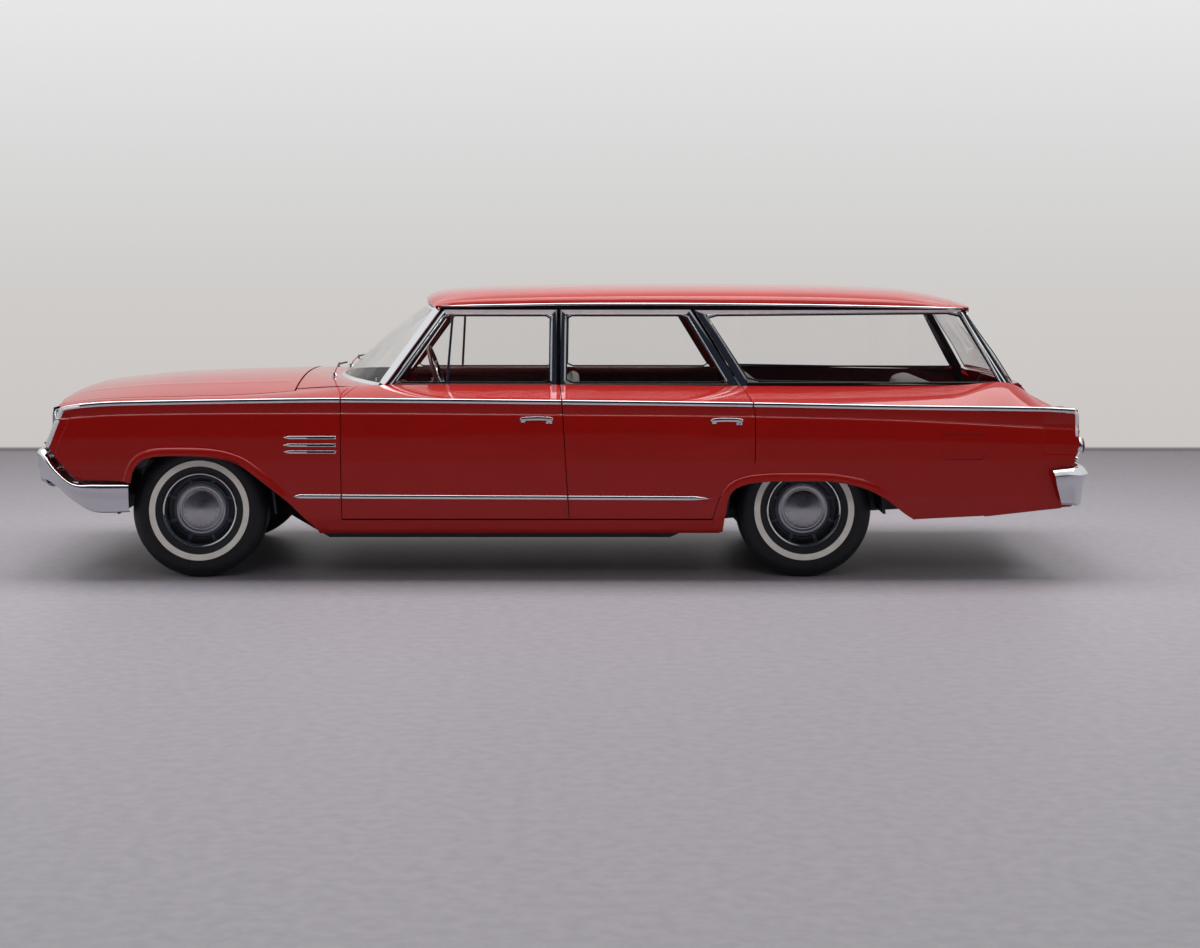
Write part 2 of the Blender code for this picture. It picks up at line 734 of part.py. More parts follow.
def make_body_side():
    """The upper body side: roof rail, four posts and the fixed frame of the cargo window."""
    rail = []
    for share in ROOF_STATIONS[1:-1]:
        _, rail_y, rail_z, _ = roof_frame(share)
        y0, y1 = rail_y - RAIL_PROUD - RAIL_STEP, rail_y - RAIL_SEAT
        x0, x1, z = bowed_x(share, y0), bowed_x(share, y1), rail_z - RAIL_LIP - SEAT_GAP
        rail.append([(x0, -y0, z), (x1, -y1, z), (x1, -y1, RAIL_LOW_Z), (x0, -y0, RAIL_LOW_Z)])
    made = loft("body_side_left", rail, "red_paint")
    posts = []
    for name, (foot, low_z, low, high_z, high) in ROOF_POSTS.items():
        rings = [[(x, -y, POST_TOP_Z + SEAT_GAP) for x, y in foot]]
        rings.append([(x, -y, low_z) for x, y in low])
        rings.append([(x, -y, high_z) for x, y in high])
        posts.append(loft(f"post_{name}", rings, "red_paint"))
    join(made, *posts)
    cut(made, prism("cargo_room", WINDOWS["cargo"][0], -0.90, -0.40))
    return join(made, window_frame("cargo_frame", *WINDOWS["cargo"], depth=CARGO_FRAME_DEPTH))


ROOF_FRONT_X, ROOF_REAR_X = -0.640, 2.095
ROOF_BOW_FRONT, ROOF_BOW_REAR = 0.085, 0.060
ROOF_THICKNESS = 0.024
LINING_SHARES = (0.0, 0.30, 0.50, 0.70, 0.80)
ROOF_STATIONS = (0.0, 0.012, 0.03, 0.07, 0.15, 0.30, 0.48, 0.66, 0.80, 0.90, 0.96, 1.0)
RAIL_PROUD = 0.018
RAIL_STEP = 0.034
RAIL_SEAT = 0.092
RAIL_LIP = 0.010
RAIL_LOW_Z = 1.322
CARGO_FRAME_DEPTH = 0.040

# Roof posts on the left: (x, y) corners at the foot, z and corners at the sill, then at the top
ROOF_POSTS = {
    "a": (
        ((-0.985, 0.785), (-0.925, 0.785), (-0.925, 0.735), (-0.985, 0.735)),
        0.965, ((-0.903, 0.784), (-0.874, 0.784), (-0.872, 0.735), (-0.925, 0.745)),
        1.338, ((-0.636, 0.650), (-0.606, 0.650), (-0.604, 0.610), (-0.652, 0.620)),
    ),
    "b": (
        ((-0.045, 0.752), (0.035, 0.752), (0.035, 0.715), (-0.045, 0.715)),
        0.965, ((-0.040, 0.752), (0.020, 0.752), (0.020, 0.720), (-0.040, 0.720)),
        1.340, ((-0.038, 0.631), (0.018, 0.631), (0.018, 0.600), (-0.038, 0.600)),
    ),
    "c": (
        ((0.960, 0.755), (1.010, 0.755), (1.010, 0.715), (0.960, 0.715)),
        0.965, ((0.934, 0.752), (0.962, 0.752), (0.962, 0.720), (0.934, 0.720)),
        1.340, ((0.692, 0.631), (0.740, 0.631), (0.740, 0.600), (0.692, 0.600)),
    ),
    "d": (
        ((2.300, 0.745), (2.350, 0.745), (2.350, 0.704), (2.300, 0.704)),
        0.965, ((2.262, 0.748), (2.335, 0.740), (2.340, 0.704), (2.262, 0.704)),
        1.336, ((2.020, 0.640), (2.108, 0.632), (2.112, 0.606), (2.020, 0.606)),
    ),
}


def post_corner(name, corner, z):
    """Place (x, y) of one corner of a post at a height above the sill."""
    _, low_z, low, high_z, high = ROOF_POSTS[name]
    share = (z - low_z) / (high_z - low_z)
    (x0, y0), (x1, y1) = low[corner], high[corner]
    return x0 + (x1 - x0) * share, y0 + (y1 - y0) * share


def screen_line(share):
    """Points across the front of the windscreen, from its lower edge at 0 to its upper at 1."""
    (x0, z0), (x1, z1) = SCREEN_CENTRE
    (s0, s1) = SCREEN_SIDE_Z
    side_z = s0 + (s1 - s0) * share
    corner_x, corner_y = post_corner("a", 3, side_z)
    side_x, side_y_at = corner_x + 0.004, corner_y - 0.0030
    bow = 0.010 * 4 * share * (1 - share)
    centre_x, centre_z = x0 + (x1 - x0) * share - bow, z0 + (z1 - z0) * share + bow
    points = []
    for j in range(-6, 7):
        u = j / 6
        x = side_x + (centre_x - side_x) * (1 - abs(u) ** 2.4)
        points.append((x, u * side_y_at, side_z + (centre_z - side_z) * (1 - u * u)))
    return points


def gate_glass_line(row):
    """Points across the outside of the rear glass at one of its rows."""
    x, z = GATE_GLASS[row]
    half = post_corner("d", 3, z)[1] - 0.0008
    return [(x - GATE_GLASS_BOW * (j / 4) ** 2, half * j / 4, z) for j in range(-4, 5)]


def make_screen():
    """The curved windscreen, between the front posts, the cowl and the roof."""
    rings = []
    for share in (0.0, 0.33, 0.67, 1.0):
        front = [Vector(p) for p in screen_line(share)]
        back = [p + Vector((0.8, 0.0, -0.6)) * SCREEN_THICKNESS for p in front]
        rings.append(front + back[::-1])
    return loft("windshield", rings, "glass", strip=True)


def make_cargo_glass():
    outline = WINDOWS["cargo"][1]
    return pane("cargo_glass_left", outline)


def make_tailgate():
    rings = []
    for j in range(-4, 5):
        u = j / 4
        bow = -0.030 * u * u
        half = GATE_HALF
        outer = [(x + bow, u * half, z) for x, z in GATE_FACE]
        inner = [(x + bow - GATE_THICKNESS, u * half, z) for x, z in GATE_FACE]
        inner[-1] = (inner[-1][0] + 0.01, inner[-1][1], inner[-1][2] - 0.006)
        rings.append(outer + inner[::-1])
    made = loft("tailgate", rings, "red_paint", strip=True)
    x, z = GATE_HINGE
    pins = [
        rod(f"pin_{side}", (x, side * (GATE_HALF - 0.020), z), (x, side * GATE_POST_Y, z), GATE_PIN_RADIUS)
        for side in (-1, 1)
    ]
    join(made, *pins)
    return set_origin(made, (GATE_HINGE[0], 0.0, GATE_HINGE[1]))


def make_tailgate_glass():
    """The fixed rear glass over the tailgate."""
    rings = []
    for k in range(len(GATE_GLASS)):
        row = gate_glass_line(k)
        back = [(x - GLASS_THICKNESS, y, z - GLASS_THICKNESS * 0.4) for x, y, z in row]
        rings.append(row + back[::-1])
    return loft("tailgate_glass", rings, "glass", strip=True)


def arch_prism(name, x, radius, low_y, high_y):
    outline = arc((x, HUB_Z), radius, 0, 180, 12)
    outline += [(x - radius, HUB_Z - 0.010), (x + radius, HUB_Z - 0.010)]
    return prism(name, outline, low_y, high_y)


# Outer sill under the doors: y, z
SILL_SECTION = (
    (0.760, 0.2800), (0.800, ROCKER_Z), (0.915, ROCKER_Z), (0.945, 0.250), (0.966, 0.302),
    (0.760, 0.302),
)
TUNNEL = (0.170, 0.400)


def cowl_point(u, share):
    """Point of the cowl's top: u is -1 to 1 across it, and share runs to its rear edge."""
    x = COWL_Z[0][0] + (COWL_Z[-1][0] - COWL_Z[0][0]) * share
    z = curve(COWL_Z, x) - (0.058 - 0.032 * share) * abs(u) ** 2.4
    return x + 0.26 * abs(u) ** 2.4 * share, u * COWL_HALF, z


def make_underbody():
    """Floor, sills, lower posts, cowl, wheelhouses and tail panel, as one welded shell."""
    lower = [(x, z - FLOOR_THICKNESS) for x, z in FLOOR_TOP]
    made = prism("underbody", list(FLOOR_TOP) + lower[::-1], -FLOOR_HALF, FLOOR_HALF)
    parts = [
        box("dash_panel", (-1.165, -0.800, 0.500), (-1.140, 0.800, 0.930)),
        box("tail_panel", (2.425, -GATE_POST_Y, 0.4523), (2.445, GATE_POST_Y, 0.606)),
        box("radiator_support", (-2.440, -0.700, 0.560), (-2.410, 0.700, 0.820)),
    ]
    cowl = []
    for j in range(-6, 7):
        row = [cowl_point(j / 6, share) for share in (0.0, 0.46, 1.0)]
        under = [(px, y, pz - 0.040) for px, y, pz in row]
        cowl.append(row + under[::-1])
    parts.append(loft("cowl", cowl, "red_paint"))
    for side in (-1, 1):
        def at(x0, y0, z0, x1, y1, z1, label):
            ys = sorted((side * y0, side * y1))
            parts.append(box(f"{label}_{side}", (x0, ys[0], z0), (x1, ys[1], z1)))

        sill_line = [(side * y, z) for y, z in SILL_SECTION]
        parts.append(prism(f"sill_{side}", sill_line, -1.088, 0.755, axis="X"))
        at(-1.165, 0.700, 0.280, -1.048, 0.932, POST_TOP_Z, "hinge_post")
        at(-1.100, 0.700, 0.780, -0.900, 0.789, POST_TOP_Z, "cowl_side")
        at(-0.035, 0.700, 0.280, 0.045, 0.940, POST_TOP_Z, "centre_post")
        at(0.925, 0.660, 0.580, 1.020, 0.940, POST_TOP_Z, "rear_post")
        at(1.000, GATE_HALF + 0.010, 0.800, 2.380, GATE_POST_Y, POST_TOP_Z, "side_rail")
        at(2.300, GATE_HALF + 0.010, 0.580, 2.380, GATE_POST_Y, POST_TOP_Z, "gate_post")
        at(-2.440, 0.480, 0.700, -1.150, 0.500, 0.820, "apron")
        at(-1.440, HOOD_STRAP[2] + 0.0203, 0.840, -1.150, HOOD_STRAP[2] + 0.040, 0.930, "hood_bracket")
        for k, (x, inner, _) in enumerate(WHEELHOUSES):
            ys = sorted((side * inner, side * WHEELHOUSE_OUTER))
            parts.append(arch_prism(f"wheelhouse_{k}_{side}", x, WHEELHOUSE_RADIUS, *ys))
    parts.append(box("tunnel", (-1.165, -TUNNEL[0], 0.285), (0.720, TUNNEL[0], TUNNEL[1])))
    join(made, *parts)
    tunnel_half, tunnel_top = TUNNEL[0] - SHEET, TUNNEL[1] - SHEET
    cutters = [box("tunnel_inside", (-1.30, -tunnel_half, 0.10), (0.80, tunnel_half, tunnel_top))]
    for side in (-1, 1):
        ys = sorted((side * GATE_POST_Y, side * 0.83))
        cutters.append(box(f"tail_room_{side}", (2.3845, ys[0], 0.40), (2.70, ys[1], 0.90)))
        ys = sorted((side * 0.728, side * 0.83))
        cutters.append(box(f"post_room_{side}", (-0.995, ys[0], POST_TOP_Z), (-0.85, ys[1], 1.10)))
        for k, (x, inner, top) in enumerate(WHEELHOUSES):
            ys = sorted((side * (inner - 0.03), side * (inner + 0.03)))
            cutters.append(box(f"slot_{k}_{side}", (x - 0.43, ys[0], 0.0), (x + 0.43, ys[1], top)))
            ys = sorted((side * (inner + SHEET), side * 1.10))
            radius = WHEELHOUSE_RADIUS - SHEET
            outline = arc((x, HUB_Z), radius, 0, 180, 12) + [(x - radius, 0.1), (x + radius, 0.1)]
            cutters.append(prism(f"well_{k}_{side}", outline, *ys))
    return cut(made, *cutters)


def make_chassis():
    rails = []
    for side in (-1, 1):
        path = [(x, side * y, z) for x, y, z in RAIL_PATH]
        rails.append(bent_bar(f"rail_{side}", path, *RAIL_SIZE))
    made = rails[0]
    made.name = "chassis_frame"
    parts = [rails[1]]
    for k, (x, half, low, high) in enumerate(CROSSMEMBERS):
        parts.append(box(f"cross_{k}", (x - 0.04, -half, low), (x + 0.04, half, high)))
    parts.append(box("hitch_pad", *HITCH_PAD))
    for side in (-1, 1):
        for k, (x, y, low, high) in enumerate(BODY_MOUNTS):
            parts.append(
                box(f"mount_{k}_{side}", (x - 0.04, side * y - 0.03, low), (x + 0.04, side * y + 0.03, high))
            )
    return join(made, *parts)


HITCH_PAD = ((2.490, -0.060, 0.370), (2.515, 0.060, 0.430))
# Crossmembers: x, half length, low z, high z
CROSSMEMBERS = (
    (-2.480, 0.440, 0.385, 0.455), (FRONT_AXLE_X, 0.430, 0.2353, 0.365),
    (-0.700, 0.610, 0.190, 0.260), (0.440, 0.610, 0.190, 0.260), (0.680, 0.570, 0.215, 0.284),
    (1.620, 0.520, 0.405, 0.475), (2.460, 0.520, 0.365, 0.435),
)
# Body mounts on the rails: x, y, low z, high z
BODY_MOUNTS = ((0.960, 0.530, 0.440, 0.5797), (2.300, 0.500, 0.400, 0.5797))


def turned_tyre(name, x, y, side):
    """A tyre: bead, sidewall, shoulder and tread turned round the axle."""
    w = TYRE_WIDTH / 2
    r = TYRE_RADIUS
    half = [
        (RIM_RADIUS, w - 0.030), (RIM_RADIUS + 0.016, w - 0.016), (RIM_RADIUS + 0.050, w - 0.003),
        (r - 0.070, w), (r - 0.030, w - 0.010), (r - 0.008, w - 0.026), (r, w - 0.045),
    ]
    profile = [(a, b) for a, b in half] + [(a, -b) for a, b in half[::-1]]
    return turned(name, profile, (x, y, HUB_Z), "rubber", WHEEL_STEPS)


def turned_wheel(name, x, y, side):
    """A pressed wheel with its full cover, out to the bead seat. side is -1 on the left."""
    w = TYRE_WIDTH / 2
    out = [
        (0.0, 0.040), (0.050, 0.042), (0.097, 0.034), (0.104, 0.026), (0.127, 0.030), (0.136, 0.016),
        (0.166, 0.020), (0.1775, 0.062), (RIM_RADIUS - SEAT_GAP, w - 0.031),
    ]
    back = [(RIM_RADIUS - SEAT_GAP, -(w - 0.031)), (0.160, -(w - 0.033)), (0.150, -0.010), (0.0, -0.010)]
    profile = [(a, side * b) for a, b in out[1:-1]] + [(out[-1][0], side * out[-1][1])]
    profile += [(a, side * b) for a, b in back[:-1]]
    bm = bmesh.new()
    steps = WHEEL_STEPS
    rings = []
    for r, d in profile:
        rings.append(
            [
                (
                    x + r * math.cos(2 * math.pi * k / steps),
                    y + d,
                    HUB_Z + r * math.sin(2 * math.pi * k / steps),
                )
                for k in range(steps)
            ]
        )
    add_rings(bm, rings)
    made = add_object(name, bm, "wheel_steel")
    return set_origin(made, (x, y, HUB_Z))


def make_seat(name, x, half, rest, facing=1):
    """A bench seat: its cushion's front lower corner at x, and its side outline from rest."""
    outline = [(x + facing * a, b) for a, b in rest]
    made = prism(name, outline, -half, half, finish="grey_vinyl")
    if rest[0][1] < TUNNEL[1]:
        room = TUNNEL[0] + 0.010
        made = cut(made, box(name + "_room", (x - 0.1, -room, 0.2), (x + 1.0, room, TUNNEL[1] + 0.005)))
    return made


# Side outlines of the seats: (back from the cushion's front, z)
FRONT_BENCH = (
    (0.02, 0.3003), (0.00, 0.480), (0.04, 0.520), (0.44, 0.480), (0.60, 0.955), (0.66, 0.985),
    (0.72, 0.955), (0.62, 0.420), (0.56, 0.3003),
)
SECOND_BENCH = (
    (0.02, 0.3003), (0.00, 0.520), (0.05, 0.560), (0.42, 0.560), (0.545, 0.960), (0.600, 0.985),
    (0.650, 0.950), (0.560, 0.6003), (0.455, 0.6003), (0.375, 0.530), (0.130, 0.3003),
)
THIRD_BENCH = (
    (0.02, 0.6003), (0.00, 0.720), (0.04, 0.760), (0.36, 0.740), (0.470, 0.940), (0.520, 0.960),
    (0.560, 0.930), (0.480, 0.6003),
)


def make_dashboard():
    """Instrument shelf with a rolled pad, from door to door."""
    outline = [
        (-1.1397, 0.760), (-1.1397, 0.880), (-1.060, 0.900), (-0.900, 0.905), (-0.860, 0.880),
        (-0.880, 0.820), (-0.900, 0.700), (-0.960, 0.660),
    ]
    made = prism("dashboard", outline, -0.690, 0.690, finish="red_vinyl")
    return cut(made, column_rod("column_room", COLUMN_RADIUS + 0.004, -0.05, 0.30))


def ring_about(name, centre, axis, major, minor, finish, steps=28, sides=6):
    """A round rim about a slanted axis."""
    turn = Vector(axis).normalized().to_track_quat("Z", "Y").to_matrix()
    rings = []
    for k in range(steps):
        a = 2 * math.pi * k / steps
        out = Vector((math.cos(a), math.sin(a), 0))
        rings.append(
            [
                Vector(centre)
                + turn @ (out * (major + minor * math.cos(b)) + Vector((0, 0, minor * math.sin(b))))
                for b in (2 * math.pi * m / sides for m in range(sides))
            ]
        )
    return loft(name, rings, finish, around=True)


WHEEL_HUB = (-0.635, -0.370, 0.951)
COLUMN_FOOT = (-1.100, -0.370, 0.8048)
COLUMN_RADIUS = 0.026
COLUMN_START = -0.0334
STEERING_RADIUS = 0.198


def column_rod(name, radius, before, length):
    """A rod along the steering column, from before its foot."""
    foot = Vector(COLUMN_FOOT)
    axis = (Vector(WHEEL_HUB) - foot).normalized()
    return rod(name, foot + axis * before, foot + axis * length, radius, sides=12)


def make_steering_wheel():
    """Rim, two spokes and the column down to the instrument shelf."""
    centre = Vector(WHEEL_HUB)
    axis = (Vector(WHEEL_HUB) - Vector(COLUMN_FOOT)).normalized()
    across = Vector((0, 1, 0))
    made = ring_about("steering_wheel", centre, axis, STEERING_RADIUS, 0.011, "red_vinyl")
    reach = across * STEERING_RADIUS
    parts = [
        rod("spokes", centre - reach, centre + reach, 0.009),
        column_rod("column", COLUMN_RADIUS, COLUMN_START, (centre - Vector(COLUMN_FOOT)).length + 0.02),
    ]
    return join(made, *parts)


ARM_END_HALF, ARM_END_OUT = 0.018, 0.006


def make_front_suspension():
    """Control arms, coil springs and drag link across the front crossmember."""
    x, tip = FRONT_AXLE_X, KNUCKLE_Y + ARM_END_OUT
    made = box("front_suspension", (x + 0.10, -0.52, 0.225), (x + 0.13, 0.52, 0.255))
    parts = []
    for side in (-1, 1):
        arm = [(x - 0.16, 0.385), (x + 0.16, 0.385), (x + ARM_END_HALF, tip), (x - ARM_END_HALF, tip)]
        low = [(px, side * py) for px, py in arm]
        parts.append(prism(f"lower_arm_{side}", low, 0.205, 0.235, axis="Z"))
        high = [(x - 0.10, side * 0.450), (x + 0.10, side * 0.450),
                (x + ARM_END_HALF, side * tip), (x - ARM_END_HALF, side * tip)]
        parts.append(prism(f"upper_arm_{side}", high, 0.460, 0.480, axis="Z"))
        parts.append(rod(f"coil_{side}", (x, side * 0.512, 0.225), (x, side * 0.512, 0.475), 0.052, sides=12))
        near, far = sorted((side * 0.462, side * 0.500))
        parts.append(box(f"tower_{side}", (x - 0.06, near, 0.44), (x + 0.06, far, 0.49)))
        near, far = sorted((side * 0.420, side * 0.520))
        parts.append(box(f"link_arm_{side}", (x + 0.05, near, 0.215), (x + 0.125, far, 0.245)))
    return join(made, *parts)


def make_knuckle(side, name):
    """Upright with the wheel's spindle, which turns about the steering axis."""
    x = FRONT_AXLE_X
    y0, y1 = sorted((side * (KNUCKLE_Y - 0.012), side * (KNUCKLE_Y + 0.012)))
    made = box(name, (x - 0.022, y0, 0.2353), (x + 0.022, y1, 0.4597))
    face = side * (TRACK_FRONT / 2 - 0.0103)
    arm = sorted((side * (KNUCKLE_Y - 0.030), side * (KNUCKLE_Y + 0.002)))
    parts = [
        rod(f"{name}_hub", (x, side * KNUCKLE_Y, HUB_Z), (x, face, HUB_Z), WHEEL_FLANGE_RADIUS, sides=12),
        rod(f"{name}_drum", (x, side * (KNUCKLE_Y + 0.022), HUB_Z), (x, face, HUB_Z), 0.135, sides=18),
        box(f"{name}_arm", (x, arm[0], 0.275), (x + 0.135, arm[1], 0.300)),
    ]
    join(made, *parts)
    return set_origin(made, (x, side * KNUCKLE_Y, HUB_Z))


def make_rear_axle():
    """Axle tube with its centre housing, drums, coil springs, links and the driveshaft."""
    x, z = REAR_AXLE_X, HUB_Z
    face = TRACK_REAR / 2 - 0.0103
    made = rod("rear_axle", (x, -face, z), (x, face, z), 0.040, sides=14)
    parts = [
        rod("housing", (x - 0.13, 0, z), (x + 0.13, 0, z), 0.130, sides=12),
        rod("pinion", (x - 0.24, 0, z), (x - 0.10, 0, z), 0.055, sides=14),
        rod("driveshaft", (TAILSHAFT_X, 0, TAILSHAFT_Z), (x - 0.22, 0, z), 0.038, sides=14),
    ]
    for side in (-1, 1):
        drum, seat, link = side * face, side * 0.500, side * 0.440
        parts.append(rod(f"drum_{side}", (x, drum - side * 0.0617, z), (x, drum, z), 0.140, sides=16))
        parts.append(rod(f"spring_{side}", (x, seat, z + 0.02), (x, seat, 0.4097), 0.050, sides=12))
        parts.append(bent_bar(f"link_{side}", [(x, link, z - 0.03), (0.7250, link, 0.262)], 0.035, 0.050))
    return join(made, *parts)


TAILSHAFT_X, TAILSHAFT_Z = -0.380, HUB_Z


def make_engine():
    """One plain block for the engine and its gearbox."""
    made = box("engine", (-2.050, -0.280, 0.3653), (-1.250, 0.280, 0.860), "cast_iron")
    gearbox = box("gearbox", (-1.300, -0.140, 0.2603), (TAILSHAFT_X - SEAT_GAP, 0.140, 0.376), "cast_iron")
    return join(made, gearbox)


def make_exhaust():
    """Down pipe, silencer and tail pipe along the right-hand rail."""
    route = [(-1.20, 0.33, 0.30), (-0.95, 0.40, 0.158), (-0.60, 0.40, 0.158), (-0.40, 0.40, 0.195),
             (0.30, 0.40, 0.195), (0.38, 0.40, 0.158), (0.76, 0.38, 0.158), (0.88, 0.35, 0.28),
             (1.02, 0.34, 0.47), (1.40, 0.34, 0.485), (1.56, 0.36, 0.36), (1.75, 0.40, 0.30),
             (2.30, 0.60, 0.30), (2.52, 0.62, 0.29)]
    made = bent_bar("exhaust", route, 0.050, 0.050)
    hanger = box("hanger", (0.430, 0.390, 0.170), (0.450, 0.410, 0.190 - SEAT_GAP))
    return join(made, hanger, rod("silencer", (-0.35, 0.40, 0.195), (0.25, 0.40, 0.195), 0.070, sides=14))


def bumper_section(low, high, lean):
    """(outward, z) points of a bumper: lip, face, and back."""
    return [
        (-0.035, low), (-0.008 + lean * 0.1, low + 0.004), (0.0 + lean, low + (high - low) * 0.45),
        (0.012 + lean * 0.6, low + (high - low) * 0.68), (0.0, high - 0.006), (-0.030, high),
        (-0.030, high - 0.012), (-0.012, high - 0.020), (-0.004, low + (high - low) * 0.66),
        (-0.016, low + (high - low) * 0.45), (-0.024, low + 0.014), (-0.035, low + 0.012),
    ]


def make_bumper(name, stations, bracket):
    """A wrap-round bar swept through stations of x, y, outward x, outward y, low z, high z."""
    left = [(x, -y, ox, -oy, low, high) for x, y, ox, oy, low, high in stations]
    right = [(x, y, ox, oy, low, high) for x, y, ox, oy, low, high in stations[::-1]]
    rows = left + right
    path = [row[:4] for row in rows]
    sections = [bumper_section(row[4], row[5], 0.0) for row in rows]
    made = section_sweep(name, path, sections, "chrome")
    brackets = []
    for side in (-1, 1):
        low, high = sorted((bracket[0], bracket[1]))
        y, z = side * bracket[2], bracket[3]
        corners = (low, y - 0.03, z - 0.03), (high, y + 0.03, z + 0.03)
        brackets.append(box(f"bracket_{side}", *corners))
    return join(made, *brackets)


FRONT_BUMPER = (
    (-2.150, 0.989, 0.0, 1.0, 0.342, 0.488), (-2.320, 0.989, 0.0, 1.0, 0.342, 0.488),
    (-2.430, 0.984, -0.05, 1.0, 0.400, 0.492), (-2.520, 0.968, -0.30, 0.95, 0.470, 0.560),
    (-2.590, 0.930, -0.70, 0.71, 0.500, 0.640), (-2.625, 0.860, -0.96, 0.28, 0.480, 0.655),
    (-2.645, 0.600, -1.0, 0.08, 0.430, 0.645), (-2.655, 0.300, -1.0, 0.03, 0.425, 0.640),
    (-2.659, 0.020, -1.0, 0.0, 0.425, 0.640),
)
REAR_BUMPER = (
    (2.455, 1.001, 0.0, 1.0, 0.380, 0.560), (2.560, 0.998, 0.12, 0.99, 0.375, 0.570),
    (2.618, 0.955, 0.71, 0.71, 0.368, 0.572), (2.642, 0.870, 0.97, 0.25, 0.372, 0.572),
    (2.652, 0.600, 1.0, 0.08, 0.380, 0.572), (2.658, 0.300, 1.0, 0.03, 0.380, 0.572),
    (2.659, 0.020, 1.0, 0.0, 0.380, 0.572),
)


def make_grille():
    """Bars between two lamp panels, with a bezel and a lens for each of the four lamps."""
    back = GRILLE_X + GRILLE_DEPTH
    low, high = GRILLE_LOW - 0.012, GRILLE_HIGH + 0.006
    made = box("grille", (back, -GRILLE_HALF, low), (back + 0.012, GRILLE_HALF, high))
    parts = []
    for k in range(GRILLE_BARS):
        z = GRILLE_LOW + k * (GRILLE_HIGH - GRILLE_LOW) / (GRILLE_BARS - 1)
        half = LAMP_PANEL_Y + 0.010
        parts.append(box(f"bar_{k}", (GRILLE_X, -half, z - 0.004), (back + 0.004, half, z + 0.004)))
    for side in (-1, 1):
        ys = sorted((side * LAMP_PANEL_Y, side * GRILLE_HALF))
        low, high = (GRILLE_X + 0.012, ys[0], GRILLE_LOW - 0.008), (back + 0.006, ys[1], GRILLE_HIGH)
        parts.append(box(f"lamp_panel_{side}", low, high))
        y = side * 0.320
        parts.append(box(f"stay_{side}", (back, y - 0.020, 0.700), (-2.4403, y + 0.020, 0.760)))
    for k, (y, z) in enumerate(front_lamp_places()):
        rings = []
        for grow, depth in LAMP_PROFILE:
            radius = FRONT_LAMP_RADIUS + grow
            turns = [2 * math.pi * n / LAMP_STEPS for n in range(LAMP_STEPS)]
            rings.append([
                (GRILLE_X + depth, y + radius * math.cos(t), z + radius * math.sin(t)) for t in turns
            ])
        parts.append(loft(f"lamp_{k}", rings, "chrome"))
    return join(made, *parts)


TAIL_LAMP_X = 2.5603


def make_tail_lamp():
    rings = []
    for grow, x in ((0.010, TAIL_LAMP_X), (0.010, 2.598), (0.0, 2.602), (-0.004, 2.620), (-0.030, 2.632)):
        rings.append(
            [
                (x, -0.835 + (0.060 + grow) * math.cos(t), 0.653 + (0.047 + grow * 0.8) * math.sin(t))
                for t in (2 * math.pi * n / 20 for n in range(20))
            ]
        )
    return loft("tail_lamp_left", rings, "lamp_red")


def main():
    clear_scene()
    empty = bpy.data.objects.new("station_wagon", None)
    bpy.context.scene.collection.objects.link(empty)
    made = {}
    made["front_door_left"] = door("front_door_left", "fender", "b", *WINDOWS["front"], slim_until=-0.872)
    made["rear_door_left"] = door("rear_door_left", "b", "c", *WINDOWS["rear"])
    made["front_door_glass_left"] = pane("front_door_glass_left", WINDOWS["front"][1])
    made["rear_door_glass_left"] = pane("rear_door_glass_left", WINDOWS["rear"][1])
    made["cargo_glass_left"] = make_cargo_glass()
    made["front_fender_left"] = make_front_fender()
    made["rear_quarter_left"] = make_rear_quarter()
    made["tail_lamp_left"] = make_tail_lamp()
    made["body_side_left"] = make_body_side()
    for name in list(made):
        twin = name.replace("_left", "_right")
        made[twin] = mirrored(made[name], twin)
    make_hood()
    make_roof()
    make_screen()
    make_tailgate()
    make_tailgate_glass()
    make_underbody()
    make_chassis()
    make_bumper("front_bumper", FRONT_BUMPER, (-2.628, -2.5203, 0.420, 0.470))
    make_bumper("rear_bumper", REAR_BUMPER, (2.5003, 2.640, 0.500, 0.420))
    make_grille()
    make_seat("front_seat", -0.600, 0.640, FRONT_BENCH)
    make_seat("second_seat", 0.410, 0.590, SECOND_BENCH)
    make_seat("third_seat", 1.420, 0.560, THIRD_BENCH)
    make_dashboard()
    make_steering_wheel()
    make_front_suspension()
    make_rear_axle()
    make_engine()
    make_exhaust()
    for side, hand in ((-1, "left"), (1, "right")):
        make_knuckle(side, f"knuckle_{hand}")
        for end, x, track in (("front", FRONT_AXLE_X, TRACK_FRONT), ("rear", REAR_AXLE_X, TRACK_REAR)):
            y = side * track / 2
            turned_tyre(f"{end}_tyre_{hand}", x, y, side)
            turned_wheel(f"{end}_wheel_{hand}", x, y, side)
    for item in list(bpy.data.objects):
        if item is not empty and item.type == "MESH":
            attach(item, empty)


main()
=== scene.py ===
import json
import math

import bmesh
import bpy
from mathutils import Matrix, Vector


